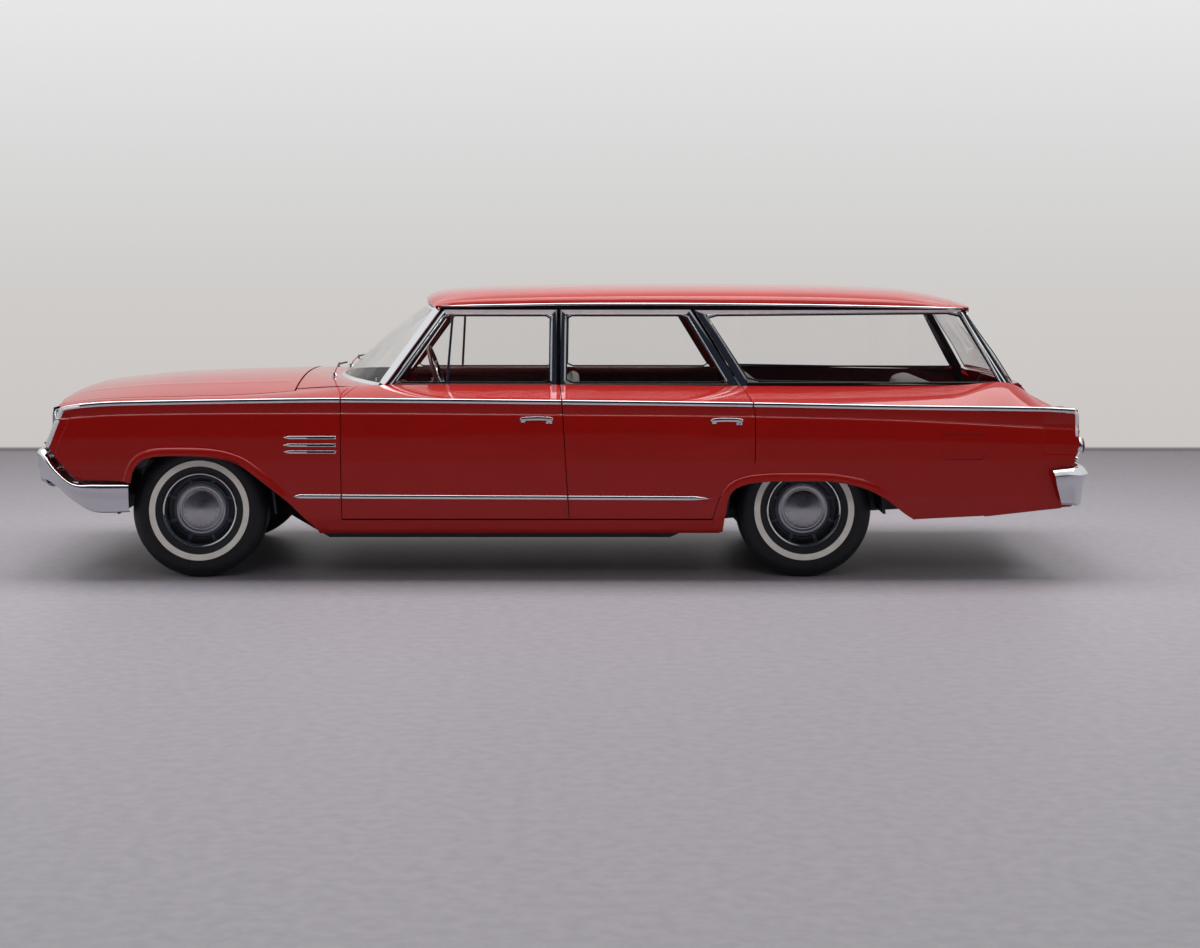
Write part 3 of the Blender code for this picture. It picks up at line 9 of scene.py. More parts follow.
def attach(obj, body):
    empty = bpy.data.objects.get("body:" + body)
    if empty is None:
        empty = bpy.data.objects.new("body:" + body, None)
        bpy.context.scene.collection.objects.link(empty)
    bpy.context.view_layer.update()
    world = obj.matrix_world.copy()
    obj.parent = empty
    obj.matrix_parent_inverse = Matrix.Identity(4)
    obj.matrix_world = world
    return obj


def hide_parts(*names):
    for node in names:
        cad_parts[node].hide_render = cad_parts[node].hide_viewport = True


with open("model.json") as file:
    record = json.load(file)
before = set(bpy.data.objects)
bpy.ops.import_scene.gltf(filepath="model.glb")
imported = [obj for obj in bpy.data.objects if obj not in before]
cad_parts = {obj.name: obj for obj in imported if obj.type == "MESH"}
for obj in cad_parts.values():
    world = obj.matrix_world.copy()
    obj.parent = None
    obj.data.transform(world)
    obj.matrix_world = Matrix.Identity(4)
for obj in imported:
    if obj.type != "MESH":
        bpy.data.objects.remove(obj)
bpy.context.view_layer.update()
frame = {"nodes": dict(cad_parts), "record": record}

# A full-size station wagon of the early sixties in gloss red, seen from its driver's side.
# Lengths are metres, X runs to the tail, -Y is the driver's side and Z is up.

# Driving dimensions, the same as the part's
FRONT_AXLE_X, REAR_AXLE_X = -1.818, 1.230
TRACK_FRONT, TRACK_REAR = 1.549, 1.524
HUB_Z = 0.340
DOOR_GAP = 0.0040
SKIN_OUT, SKIN_THICKNESS = 0.0012, 0.0010
# The visible car ends just inside the solids' own box: half length, half width, height
LONGEST, WIDEST, HIGHEST = 2.6709, 1.0151, 1.4671

# Height of the shoulder crease: x, z, then half width of the body at the crease: x, y
CREASE_Z = (
    (-2.54, 0.840), (-2.47, 0.866), (-2.33, 0.884), (-2.17, 0.892), (-1.55, 0.904),
    (-1.10, 0.909), (0.00, 0.899), (0.95, 0.887), (1.70, 0.872), (2.40, 0.860), (2.60, 0.850),
)
CREASE_Y = (
    (-2.60, 0.925), (-2.45, 0.948), (-2.20, 0.972), (-1.80, 0.988), (-1.10, 0.997),
    (0.00, 1.000), (0.95, 0.998), (1.60, 0.985), (2.20, 0.958), (2.60, 0.930),
)
# Feature line under the belt moulding, where the side steps in: x, z
FEATURE_Z = (
    (-2.60, 0.800), (-2.17, 0.829), (-1.10, 0.837), (0.00, 0.830), (0.95, 0.822),
    (1.69, 0.802), (2.41, 0.762), (2.60, 0.750),
)
FEATURE_LEVEL, FLAT_LEVEL = 0.832, 0.600
# Body side below the crease: level, distance outside the crease
SIDE_BULGE = (
    (0.232, -0.078), (0.255, -0.050), (0.310, -0.024), (0.420, 0.000), (0.600, 0.013),
    (0.720, 0.015), (0.828, 0.009), (0.838, -0.001), (0.880, 0.002), (0.950, 0.002),
)
# Inner edge of the shoulder, at the bonnet gap and the window sills: x, y, z
SHOULDER = (
    (-2.56, 0.850, 0.868), (-2.30, 0.885, 0.902), (-1.90, 0.885, 0.914), (-1.60, 0.870, 0.922),
    (-1.25, 0.830, 0.945), (-1.03, 0.800, 0.962), (-0.80, 0.800, 0.968), (0.00, 0.805, 0.968),
    (0.95, 0.800, 0.962), (1.60, 0.793, 0.960), (2.00, 0.782, 0.963), (2.26, 0.768, 0.978),
    (2.35, 0.762, 0.943), (2.46, 0.758, 0.862), (2.60, 0.755, 0.846),
)
SHOULDER_CROWN = 0.006
# Half width of the glass at its upper edge: x, y
GLASS_TOP_Y = ((-0.75, 0.645), (-0.40, 0.662), (0.40, 0.668), (1.30, 0.664), (2.10, 0.632))
SILL_Z, GLASS_TOP_Z = 0.965, 1.352
GLASS_INSET, GLASS_BOW = 0.012, 0.010
# Roof: height along the centre, and height of the drip rail: x, z
ROOF_Z = (
    (-0.645, 1.396), (-0.60, 1.424), (-0.52, 1.440), (-0.33, 1.454), (0.21, 1.465), (0.75, 1.467),
    (1.29, 1.462), (1.67, 1.448), (1.83, 1.432), (2.00, 1.396), (2.10, 1.362),
)
RAIL_Z = ((-0.66, 1.366), (0.20, 1.378), (1.23, 1.372), (2.08, 1.354))
ROOF_SECTION = ((0.0, 0.0), (0.40, 0.004), (0.68, 0.014), (0.87, 0.033))
ROOF_FRONT_X, ROOF_REAR_X = -0.640, 2.095
ROOF_BOW_FRONT, ROOF_BOW_REAR = 0.085, 0.060
RAIL_PROUD, RAIL_LIP = 0.018, 0.010
# Door cuts: height, x, and how far each cut moves along X from the crease to the sill
CUT_FENDER = ((0.300, -1.088), (0.830, -1.094), (0.905, -1.094))
CUT_B = ((0.300, 0.046), (0.830, 0.013), (0.905, 0.008))
CUT_C = (
    (0.300, 0.760), (0.380, 0.780), (0.440, 0.805), (0.495, 0.850), (0.525, 0.905), (0.560, 0.955),
    (0.600, 0.972), (0.850, 0.972), (0.905, 0.958),
)
CUTS = {"fender": (CUT_FENDER, 0.070), "b": (CUT_B, -0.010), "c": (CUT_C, -0.042)}
DOOR_BOTTOM_Z, ROCKER_Z = 0.312, 0.2325
# Outlines of the side windows: (x, z), all from the lower front corner
WINDOWS = {
    "front": (
        ((-0.883, 0.940), (-0.595, 1.345), (-0.019, 1.345), (-0.019, 0.940)),
        ((-0.840, 0.972), (-0.589, 1.322), (-0.045, 1.322), (-0.047, 0.972)),
    ),
    "rear": (
        ((0.001, 0.940), (0.001, 1.345), (0.664, 1.345), (0.922, 0.940)),
        ((0.022, 0.972), (0.027, 1.322), (0.644, 1.322), (0.852, 0.972)),
    ),
    "cargo": (
        ((0.930, 0.9400), (0.686, 1.343), (2.058, 1.343), (2.262, 0.940)),
        ((0.950, 0.9806), (0.740, 1.322), (2.036, 1.322), (2.230, 0.9806)),
    ),
}
# Wheel arches and lower edges of the body side: (x, z) from front to rear
FRONT_ARCH = (
    (-2.146, 0.490), (-2.130, 0.550), (-2.095, 0.600), (-2.040, 0.622), (-1.960, 0.630),
    (-1.780, 0.628), (-1.673, 0.613), (-1.585, 0.580), (-1.494, 0.511), (-1.368, 0.410),
    (-1.285, 0.328), (-1.215, 0.262),
)
REAR_ARCH = (
    (0.812, 0.232), (0.823, 0.331), (0.834, 0.408), (0.861, 0.457), (0.921, 0.487),
    (1.020, 0.502), (1.204, 0.505), (1.369, 0.500), (1.503, 0.472), (1.618, 0.418),
    (1.720, 0.341), (1.773, 0.306),
)
NOSE_LOW = ((-2.580, 0.690), (-2.480, 0.572), (-2.427, 0.521), (-2.386, 0.504), (-2.150, 0.504))
TAIL_LOW = ((2.124, 0.322), (2.509, 0.362), (2.700, 0.378))
NOSE_X = ((0.504, -2.640), (0.672, -2.577), (0.846, -2.509), (0.905, -2.500))
TAIL_X = ((0.300, 2.560), (0.607, 2.575), (0.716, 2.602), (0.851, 2.592))
# Bonnet: height along the centre, x, z
HOOD_Z = (
    (-2.578, 0.862), (-2.533, 0.917), (-2.479, 0.939), (-2.383, 0.953), (-2.106, 0.980),
    (-1.830, 0.994), (-1.344, 1.008),
)
HOOD_REAR_X, HOOD_GAP = -1.344, 0.007
COWL_Z = ((-1.336, 1.006), (-1.250, 1.002), (-1.150, 0.980))
COWL_HALF = 0.785
# Windscreen: (x, z) of its centre at the lower and upper edge, and z of its sides there
SCREEN_CENTRE = ((-1.168, 0.9895), (-0.716, 1.366))
SCREEN_SIDE_Z = (0.966, 1.342)
# Tailgate and rear glass: (x, z) down and up the centre
GATE_FACE = ((2.500, 0.612), (2.508, 0.700), (2.492, 0.800), (2.440, 0.890), (2.372, 0.972))
GATE_HALF, GATE_BOW = 0.690, 0.030
GATE_GLASS = ((2.352, 0.983), (2.278, 1.110), (2.196, 1.230), (2.135, 1.325))
GATE_GLASS_BOW = 0.048
# Roof posts on the left: (x, y) corners at the foot, z and corners at the sill, then at the top
ROOF_POSTS = {
    "a": (
        ((-0.985, 0.785), (-0.925, 0.785), (-0.925, 0.735), (-0.985, 0.735)),
        0.965, ((-0.903, 0.784), (-0.874, 0.784), (-0.872, 0.735), (-0.925, 0.745)),
        1.338, ((-0.636, 0.650), (-0.606, 0.650), (-0.604, 0.610), (-0.652, 0.620)),
    ),
    "b": (
        ((-0.045, 0.752), (0.035, 0.752), (0.035, 0.715), (-0.045, 0.715)),
        0.965, ((-0.040, 0.752), (0.020, 0.752), (0.020, 0.720), (-0.040, 0.720)),
        1.340, ((-0.038, 0.631), (0.018, 0.631), (0.018, 0.600), (-0.038, 0.600)),
    ),
    "c": (
        ((0.960, 0.755), (1.010, 0.755), (1.010, 0.715), (0.960, 0.715)),
        0.965, ((0.934, 0.752), (0.962, 0.752), (0.962, 0.720), (0.934, 0.720)),
        1.340, ((0.692, 0.631), (0.740, 0.631), (0.740, 0.600), (0.692, 0.600)),
    ),
    "d": (
        ((2.300, 0.745), (2.350, 0.745), (2.350, 0.704), (2.300, 0.704)),
        0.965, ((2.262, 0.748), (2.335, 0.740), (2.340, 0.704), (2.262, 0.704)),
        1.336, ((2.020, 0.640), (2.108, 0.632), (2.112, 0.606), (2.020, 0.606)),
    ),
}
# Floor, seen from the side: (x, z) of its upper face
FLOOR_TOP = (
    (-1.150, 0.560), (-1.020, 0.330), (-0.950, 0.300), (0.560, 0.300), (0.800, 0.500),
    (0.870, 0.600), (2.440, 0.600),
)
# Bumpers: x, y, outward x, outward y, low z, high z
FRONT_BUMPER = (
    (-2.150, 0.989, 0.0, 1.0, 0.342, 0.488), (-2.320, 0.989, 0.0, 1.0, 0.342, 0.488),
    (-2.430, 0.984, -0.05, 1.0, 0.400, 0.492), (-2.520, 0.968, -0.30, 0.95, 0.470, 0.560),
    (-2.590, 0.930, -0.70, 0.71, 0.500, 0.640), (-2.625, 0.860, -0.96, 0.28, 0.480, 0.655),
    (-2.645, 0.600, -1.0, 0.08, 0.430, 0.645), (-2.655, 0.300, -1.0, 0.03, 0.425, 0.640),
    (-2.659, 0.020, -1.0, 0.0, 0.425, 0.640),
)
REAR_BUMPER = (
    (2.455, 1.001, 0.0, 1.0, 0.380, 0.560), (2.560, 0.998, 0.12, 0.99, 0.375, 0.570),
    (2.618, 0.955, 0.71, 0.71, 0.368, 0.572), (2.642, 0.870, 0.97, 0.25, 0.372, 0.572),
    (2.652, 0.600, 1.0, 0.08, 0.380, 0.572), (2.658, 0.300, 1.0, 0.03, 0.380, 0.572),
    (2.659, 0.020, 1.0, 0.0, 0.380, 0.572),
)


def curve(table, at, column=1):
    """Smooth reading of a table of points whose first column rises or falls."""
    rows = sorted(table)
    if at <= rows[0][0]:
        return rows[0][column]
    if at >= rows[-1][0]:
        return rows[-1][column]
    last = len(rows) - 1
    i = max(k for k in range(last) if rows[k][0] <= at)

    def slope(k):
        a, b = max(k - 1, 0), min(k + 1, last)
        return (rows[b][column] - rows[a][column]) / (rows[b][0] - rows[a][0])

    span = rows[i + 1][0] - rows[i][0]
    t = (at - rows[i][0]) / span
    p, q = rows[i][column], rows[i + 1][column]
    return (
        (2 * t**3 - 3 * t**2 + 1) * p
        + (t**3 - 2 * t**2 + t) * span * slope(i)
        + (3 * t**2 - 2 * t**3) * q
        + (t**3 - t**2) * span * slope(i + 1)
    )


def straight(table, at):
    """Reading of a table of points along straight lines."""
    rows = sorted(table)
    if at <= rows[0][0]:
        return rows[0][1]
    for (a, p), (b, q) in zip(rows, rows[1:]):
        if at <= b:
            return p + (q - p) * (at - a) / (b - a)
    return rows[-1][1]


def crease(x):
    return curve(CREASE_Y, x), curve(CREASE_Z, x)


def side_z(x, level):
    """Height of a level on the side, with the feature line at its own level throughout."""
    feature = curve(FEATURE_Z, x)
    if level <= FLAT_LEVEL:
        return level
    if level <= FEATURE_LEVEL:
        stretch = (feature - FLAT_LEVEL) / (FEATURE_LEVEL - FLAT_LEVEL)
        return FLAT_LEVEL + (level - FLAT_LEVEL) * stretch
    return feature + level - FEATURE_LEVEL


def side_y(x, level):
    """Half width of the body side at a place below the crease."""
    return curve(CREASE_Y, x) + straight(SIDE_BULGE, level)


def sill(x):
    return curve(SHOULDER, x, 1), curve(SHOULDER, x, 2)


def shoulder(x, share):
    """Point (y, z) on the shoulder, from the crease at 0 to the sill at 1."""
    (cy, cz), (sy, sz) = crease(x), sill(x)
    rise = SHOULDER_CROWN * 4 * share * (1 - share)
    return cy + (sy - cy) * share, cz + (sz - cz) * share + rise


def glass_y(x, z):
    """Half width of the outside of the side glass and its frames."""
    share = (z - SILL_Z) / (GLASS_TOP_Z - SILL_Z)
    low = sill(min(x, 2.2))[0] - GLASS_INSET
    high = curve(GLASS_TOP_Y, x)
    return low + (high - low) * share + GLASS_BOW * 4 * share * (1 - share)


def cut_x(name, kind, value, side=0.0):
    """X of a door cut at a height on the side, or at a share across the shoulder."""
    table, sweep = CUTS[name]
    if kind == "side":
        return straight(table, value) + side * DOOR_GAP / 2
    return straight(table, table[-1][0]) + sweep * value + side * DOOR_GAP / 2


def hood_z(x, y):
    """Height of the bonnet: level with the fender at its edge and crowned to the centre."""
    edge_y, edge_z = sill(x)
    share = min(abs(y) / edge_y, 1.0)
    return edge_z + (curve(HOOD_Z, x) - edge_z) * (1 - share**2.4)


def hood_front_x(y):
    return -2.578 + 0.062 * (abs(y) / 0.85) ** 2.2


def cowl_point(u, share):
    """Point of the cowl's top: u is -1 to 1 across it, and share runs to its rear edge."""
    x = COWL_Z[0][0] + (COWL_Z[-1][0] - COWL_Z[0][0]) * share
    z = curve(COWL_Z, x) - (0.058 - 0.032 * share) * abs(u) ** 2.4
    return x + 0.26 * abs(u) ** 2.4 * share, u * COWL_HALF, z


def roof_frame(share):
    """Half width and height of the gutter, crown height and x, between the roof's two ends."""
    x = ROOF_FRONT_X + (ROOF_REAR_X - ROOF_FRONT_X) * share
    return x, curve(GLASS_TOP_Y, x) + RAIL_PROUD, curve(RAIL_Z, x), curve(ROOF_Z, x)


def bowed_x(share, y):
    """X of a roof section: its ends bow outwards towards the centre of the car."""
    x, rail_y, _, _ = roof_frame(share)
    round_off = 1 - (y / rail_y) ** 2
    return x + round_off * (ROOF_BOW_REAR * share - ROOF_BOW_FRONT * (1 - share))


def post_corner(name, corner, z):
    """Place (x, y) of one corner of a post at a height above the sill."""
    _, low_z, low, high_z, high = ROOF_POSTS[name]
    share = (z - low_z) / (high_z - low_z)
    (x0, y0), (x1, y1) = low[corner], high[corner]
    return x0 + (x1 - x0) * share, y0 + (y1 - y0) * share


def screen_line(share):
    """Points across the front of the windscreen, from its lower edge at 0 to its upper at 1."""
    (x0, z0), (x1, z1) = SCREEN_CENTRE
    (s0, s1) = SCREEN_SIDE_Z
    side_z = s0 + (s1 - s0) * share
    corner_x, corner_y = post_corner("a", 3, side_z)
    side_x, side_y_at = corner_x + 0.004, corner_y - 0.0030
    bow = 0.010 * 4 * share * (1 - share)
    centre_x, centre_z = x0 + (x1 - x0) * share - bow, z0 + (z1 - z0) * share + bow
    points = []
    for j in range(-6, 7):
        u = j / 6
        x = side_x + (centre_x - side_x) * (1 - abs(u) ** 2.4)
        points.append((x, u * side_y_at, side_z + (centre_z - side_z) * (1 - u * u)))
    return points


def gate_glass_line(row):
    """Points across the outside of the rear glass at one of its rows."""
    x, z = GATE_GLASS[row]
    half = post_corner("d", 3, z)[1] - 0.0008
    return [(x - GATE_GLASS_BOW * (j / 4) ** 2, half * j / 4, z) for j in range(-4, 5)]


# Finishes
def linear(colour):
    """Linear RGBA of an sRGB hex colour."""
    parts = [int(colour[k:k + 2], 16) / 255 for k in (1, 3, 5)]
    return [p / 12.92 if p <= 0.04045 else ((p + 0.055) / 1.055) ** 2.4 for p in parts] + [1.0]


def node(tree, kind, links=(), **settings):
    """A shader node with its settings, and links of (its input, another node's output)."""
    made = tree.nodes.new(kind)
    for key, value in settings.items():
        if key in made.inputs:
            made.inputs[key].default_value = value
        else:
            setattr(made, key, value)
    for key, output in links:
        tree.links.new(output, made.inputs[key])
    return made


def material(name, **sockets):
    """A material with its shader, whose sockets are set here, and a node of object coordinates."""
    made = bpy.data.materials.new(name)
    made.use_nodes = True
    tree = made.node_tree
    shader = tree.nodes["Principled BSDF"]
    for key, value in sockets.items():
        shader.inputs[key.replace("_", " ")].default_value = value
    place = node(tree, "ShaderNodeTexCoord")
    return made, tree, shader, place.outputs["Object"]


def red_enamel():
    """Baked red enamel: a deep gloss coat over solid colour, with a faint orange peel."""
    made, tree, shader, place = material(
        "baked_red_enamel", Roughness=0.45, IOR=1.5, Specular_IOR_Level=0.1, Coat_Weight=1.0,
        Coat_Roughness=0.03, Coat_IOR=1.36,
    )
    # Orange peel on such paint is 5 to 10 mm across and hardly raised.
    peel = node(tree, "ShaderNodeTexNoise", [("Vector", place)], Scale=140.0, Detail=2.0)
    bump = node(
        tree, "ShaderNodeBump", [("Height", peel.outputs["Fac"])], Strength=0.015, Distance=0.001,
    )
    tree.links.new(bump.outputs["Normal"], shader.inputs["Coat Normal"])
    # Age and polishing leave the colour a shade uneven over a hand's breadth.
    drift = node(tree, "ShaderNodeTexNoise", [("Vector", place)], Scale=4.0, Detail=3.0)
    tint = node(tree, "ShaderNodeValToRGB", [("Fac", drift.outputs["Fac"])])
    tint.color_ramp.elements[0].color = linear("#9E0D05")
    tint.color_ramp.elements[1].color = linear("#AA1007")
    tree.links.new(tint.outputs["Color"], shader.inputs["Base Color"])
    return made


def bright_plate(name, colour, roughness, grain=0.0):
    """Chrome plate or bright metal: a mirror with polishing haze, or with a fine brushed grain."""
    made, tree, shader, place = material(name, Base_Color=linear(colour), Metallic=1.0)
    haze = node(tree, "ShaderNodeTexNoise", [("Vector", place)], Scale=30.0, Detail=4.0)
    spread = node(
        tree, "ShaderNodeMapRange", [("Value", haze.outputs["Fac"])],
        **{"To Min": roughness * 0.7, "To Max": roughness * 1.35},
    )
    tree.links.new(spread.outputs["Result"], shader.inputs["Roughness"])
    if grain:
        # Brushed lines are under a millimetre apart, drawn at 2 mm so that they show.
        line = node(tree, "ShaderNodeTexNoise", [("Vector", place)], Scale=500.0, Detail=2.0)
        bump = node(
            tree, "ShaderNodeBump", [("Height", line.outputs["Fac"])], Strength=grain,
            Distance=0.0005,
        )
        tree.links.new(bump.outputs["Normal"], shader.inputs["Normal"])
    return made


def glazing():
    """Laminated safety glass: clear and neutral, with a mirror gloss that grows at a glance."""
    made, tree, _, _ = material(
        "safety_glass", Base_Color=linear("#F6F7F6"), Roughness=0.0, IOR=1.45,
        Transmission_Weight=1.0,
    )
    clear = node(tree, "ShaderNodeBsdfTransparent", Color=linear("#FEFEFE"))
    gloss = node(tree, "ShaderNodeBsdfGlossy", Color=linear("#FFFFFF"), Roughness=0.01)
    look = node(tree, "ShaderNodeLayerWeight", Blend=0.5)
    steep = node(tree, "ShaderNodeMath", [(0, look.outputs["Facing"])], operation="POWER")
    steep.inputs[1].default_value = 5.0
    share = node(
        tree, "ShaderNodeMapRange", [("Value", steep.outputs["Value"])],
        **{"To Min": 0.025, "To Max": 0.55},
    )
    mix = node(tree, "ShaderNodeMixShader", [("Fac", share.outputs["Result"])])
    tree.links.new(clear.outputs["BSDF"], mix.inputs[1])
    tree.links.new(gloss.outputs["BSDF"], mix.inputs[2])
    tree.links.new(mix.outputs["Shader"], tree.nodes["Material Output"].inputs["Surface"])
    return made


def fluted_lens(name, colour, clearness):
    """Moulded lamp glass, with upright flutes 8 mm apart that scatter the light."""
    made, tree, shader, place = material(
        name, Base_Color=linear(colour), Roughness=0.08, IOR=1.49, Transmission_Weight=clearness,
        Coat_Weight=0.6, Coat_Roughness=0.03,
    )
    flute = node(
        tree, "ShaderNodeTexWave", [("Vector", place)], bands_direction="Y", Scale=40.0,
    )
    bump = node(
        tree, "ShaderNodeBump", [("Height", flute.outputs["Fac"])], Strength=0.5, Distance=0.002,
    )
    tree.links.new(bump.outputs["Normal"], shader.inputs["Normal"])
    return made


def mottled(name, colour, second, roughness, scale, bump_height=0.0, **sockets):
    """A surface whose two close shades drift into each other, with a fine texture."""
    made, tree, shader, place = material(name, Roughness=roughness, **sockets)
    drift = node(tree, "ShaderNodeTexNoise", [("Vector", place)], Scale=scale, Detail=5.0)
    tint = node(tree, "ShaderNodeValToRGB", [("Fac", drift.outputs["Fac"])])
    tint.color_ramp.elements[0].position = 0.35
    tint.color_ramp.elements[1].position = 0.65
    tint.color_ramp.elements[0].color = linear(colour)
    tint.color_ramp.elements[1].color = linear(second)
    tree.links.new(tint.outputs["Color"], shader.inputs["Base Color"])
    if bump_height:
        fine = node(tree, "ShaderNodeTexNoise", [("Vector", place)], Scale=scale * 8, Detail=3.0)
        bump = node(
            tree, "ShaderNodeBump", [("Height", fine.outputs["Fac"])],
            Strength=0.4, Distance=bump_height,
        )
        tree.links.new(bump.outputs["Normal"], shader.inputs["Normal"])
    return made


ENAMEL = red_enamel()
# Chromium over nickel on steel pressings: a bluish mirror
CHROME = bright_plate("chrome_plate", "#E3E5E8", 0.05)
# Anodised aluminium: softer and greyer than the plate
BRIGHT_TRIM = bright_plate("anodised_trim", "#C6C8CC", 0.16)
# Pressed stainless wheel cover: brushed in turning
COVER_STEEL = bright_plate("stainless_cover", "#B4B6BA", 0.30, grain=0.20)
GLASS = glazing()
LAMP_GLASS = fluted_lens("pressed_lamp_glass", "#DDE4E8", 0.35)
LENS_RED = fluted_lens("red_acrylic_lens", "#94090B", 0.30)
# Moulded tyre rubber: dull, bluish black, with fine pores
RUBBER = mottled("moulded_rubber", "#0E0F14", "#15161C", 0.58, 40.0, 0.0004, IOR=1.52)
# White rubber band: ivory, a little stained
WHITEWALL = mottled("white_rubber", "#F2EEE6", "#E8E3DA", 0.55, 25.0, 0.0002, IOR=1.52)
# Brushed-on chassis enamel: satin black
BLACK_PAINT = mottled("chassis_enamel", "#141517", "#1E1F21", 0.42, 20.0, 0.0003, IOR=1.5)
# Sand-cast iron: rough and grey
CASTING = mottled("cast_iron", "#38393B", "#4A4A4B", 0.6, 30.0, 0.0006, Metallic=0.6)
# Pleated seat vinyl: pinkish beige with a grained skin
SEAT_VINYL = mottled("grained_seat_vinyl", "#B5A39B", "#BFAEA6", 0.42, 30.0, 0.0004, IOR=1.5)
# Moulded dark red vinyl of the trim and the instrument shelf
RED_VINYL = mottled("dark_red_vinyl", "#4A0F0D", "#561311", 0.40, 30.0, 0.0004, IOR=1.5)
# Perforated headlining: matt and pale
LINING = mottled("vinyl_headlining", "#938884", "#9C918D", 0.75, 40.0, 0.0004)
# Looped pile carpet, drawn as a coarse grain of 3 mm
CARPET = mottled("looped_carpet", "#3A0D0C", "#4C1512", 0.95, 60.0, 0.0030, Sheen_Weight=0.3)
# White satin paint that stands in for the bright reflection on the chrome window heads and edge
# mouldings: a painted highlight
WHITE_HIGHLIGHT_PAINT = mottled("painted_white_highlight", "#F4F4F6", "#ECECEF", 0.35, 30.0, 0.0)
# Blue-black satin paint on the window posts, frames and openings: a painted dark reflection on
# their bright steel, and painted shade inside the openings
DARK_REFLECTION_AND_SHADE_PAINT = mottled("painted_dark_reflection_and_shade", "#10121A", "#171A24", 0.30, 25.0, 0.0, Coat_Weight=0.3)
# Rolled rim enamel: blue-grey and satin
RIM_PAINT = mottled("rim_enamel", "#3A444F", "#434E5A", 0.35, 25.0, 0.0002)
# Plated bumper bar, a shade duller than the small trim
BUMPER_PLATE = bright_plate("bumper_plate", "#D5D7DB", 0.11)
# Plain painted plate, left blank
PLATE_PAINT = mottled("blank_plate_paint", "#D9D8D2", "#CFCEC8", 0.5, 12.0, 0.0)
# Crackle black paint and dial faces
DIAL_BLACK = mottled("dial_paint", "#0E0E10", "#17171A", 0.35, 60.0, 0.0002)

CAD_FINISHES = {
    "body_paint": ENAMEL, "chrome": CHROME, "grille_metal": BRIGHT_TRIM, "glass": GLASS,
    "lamp_red": LENS_RED, "tyre": RUBBER, "wheel_steel": COVER_STEEL, "black_steel": BLACK_PAINT,
    "cast_iron": CASTING, "seat_vinyl": SEAT_VINYL, "dash_vinyl": RED_VINYL,
}
for row in frame["record"]["subparts"]:
    shown = frame["nodes"][row["node"]]
    shown.data.materials.clear()
    finish = BLACK_PAINT if row["node"] == "underbody" else CAD_FINISHES[row["material_slot"]]
    shown.data.materials.append(finish)

# Camera: pixels of the photograph, which is 1200 by 948
PHOTO_WIDTH, PHOTO_HEIGHT = 1200, 948
AXIS_PIXEL = (577, 243)
FOCAL_PIXELS = 2250
CAMERA_PLACE = (0.0845, -12.2, 1.687)

lens = bpy.data.cameras.new("camera")
lens.sensor_width = 36.0
lens.lens = 36.0 * FOCAL_PIXELS / PHOTO_WIDTH
lens.shift_x = (PHOTO_WIDTH / 2 - AXIS_PIXEL[0]) / PHOTO_WIDTH
lens.shift_y = (AXIS_PIXEL[1] - PHOTO_HEIGHT / 2) / PHOTO_WIDTH
camera = bpy.data.objects.new("camera", lens)
camera.location = CAMERA_PLACE
camera.rotation_euler = (math.radians(90), 0, 0)
bpy.context.scene.collection.objects.link(camera)
bpy.context.scene.camera = camera
bpy.context.scene.view_settings.view_transform = "Standard"

# Where the floor meets the backdrop behind the car
BACKDROP_Y = 6.1


def staged(name, size, place, turn, finish):
    """A flat piece of the studio, which isn't part of the car."""
    bm = bmesh.new()
    bmesh.ops.create_grid(bm, x_segments=1, y_segments=1, size=0.5)
    bmesh.ops.scale(bm, vec=(size[0], size[1], 1), verts=bm.verts)
    bmesh.ops.rotate(bm, matrix=Matrix.Rotation(turn, 3, "X"), verts=bm.verts)
    bmesh.ops.translate(bm, vec=place, verts=bm.verts)
    mesh = bpy.data.meshes.new(name)
    bm.to_mesh(mesh)
    bm.free()
    made = bpy.data.objects.new(name, mesh)
    bpy.context.scene.collection.objects.link(made)
    made.data.materials.append(finish)


def seen_rays(tree):
    """1 for the rays that show the backdrop: camera, gloss and glass."""
    path = node(tree, "ShaderNodeLightPath")
    seen = node(tree, "ShaderNodeMath", operation="MAXIMUM")
    tree.links.new(path.outputs["Is Camera Ray"], seen.inputs[0])
    tree.links.new(path.outputs["Is Glossy Ray"], seen.inputs[1])
    both = node(tree, "ShaderNodeMath", operation="MAXIMUM")
    tree.links.new(seen.outputs[0], both.inputs[0])
    tree.links.new(path.outputs["Is Transmission Ray"], both.inputs[1])
    return both.outputs[0]


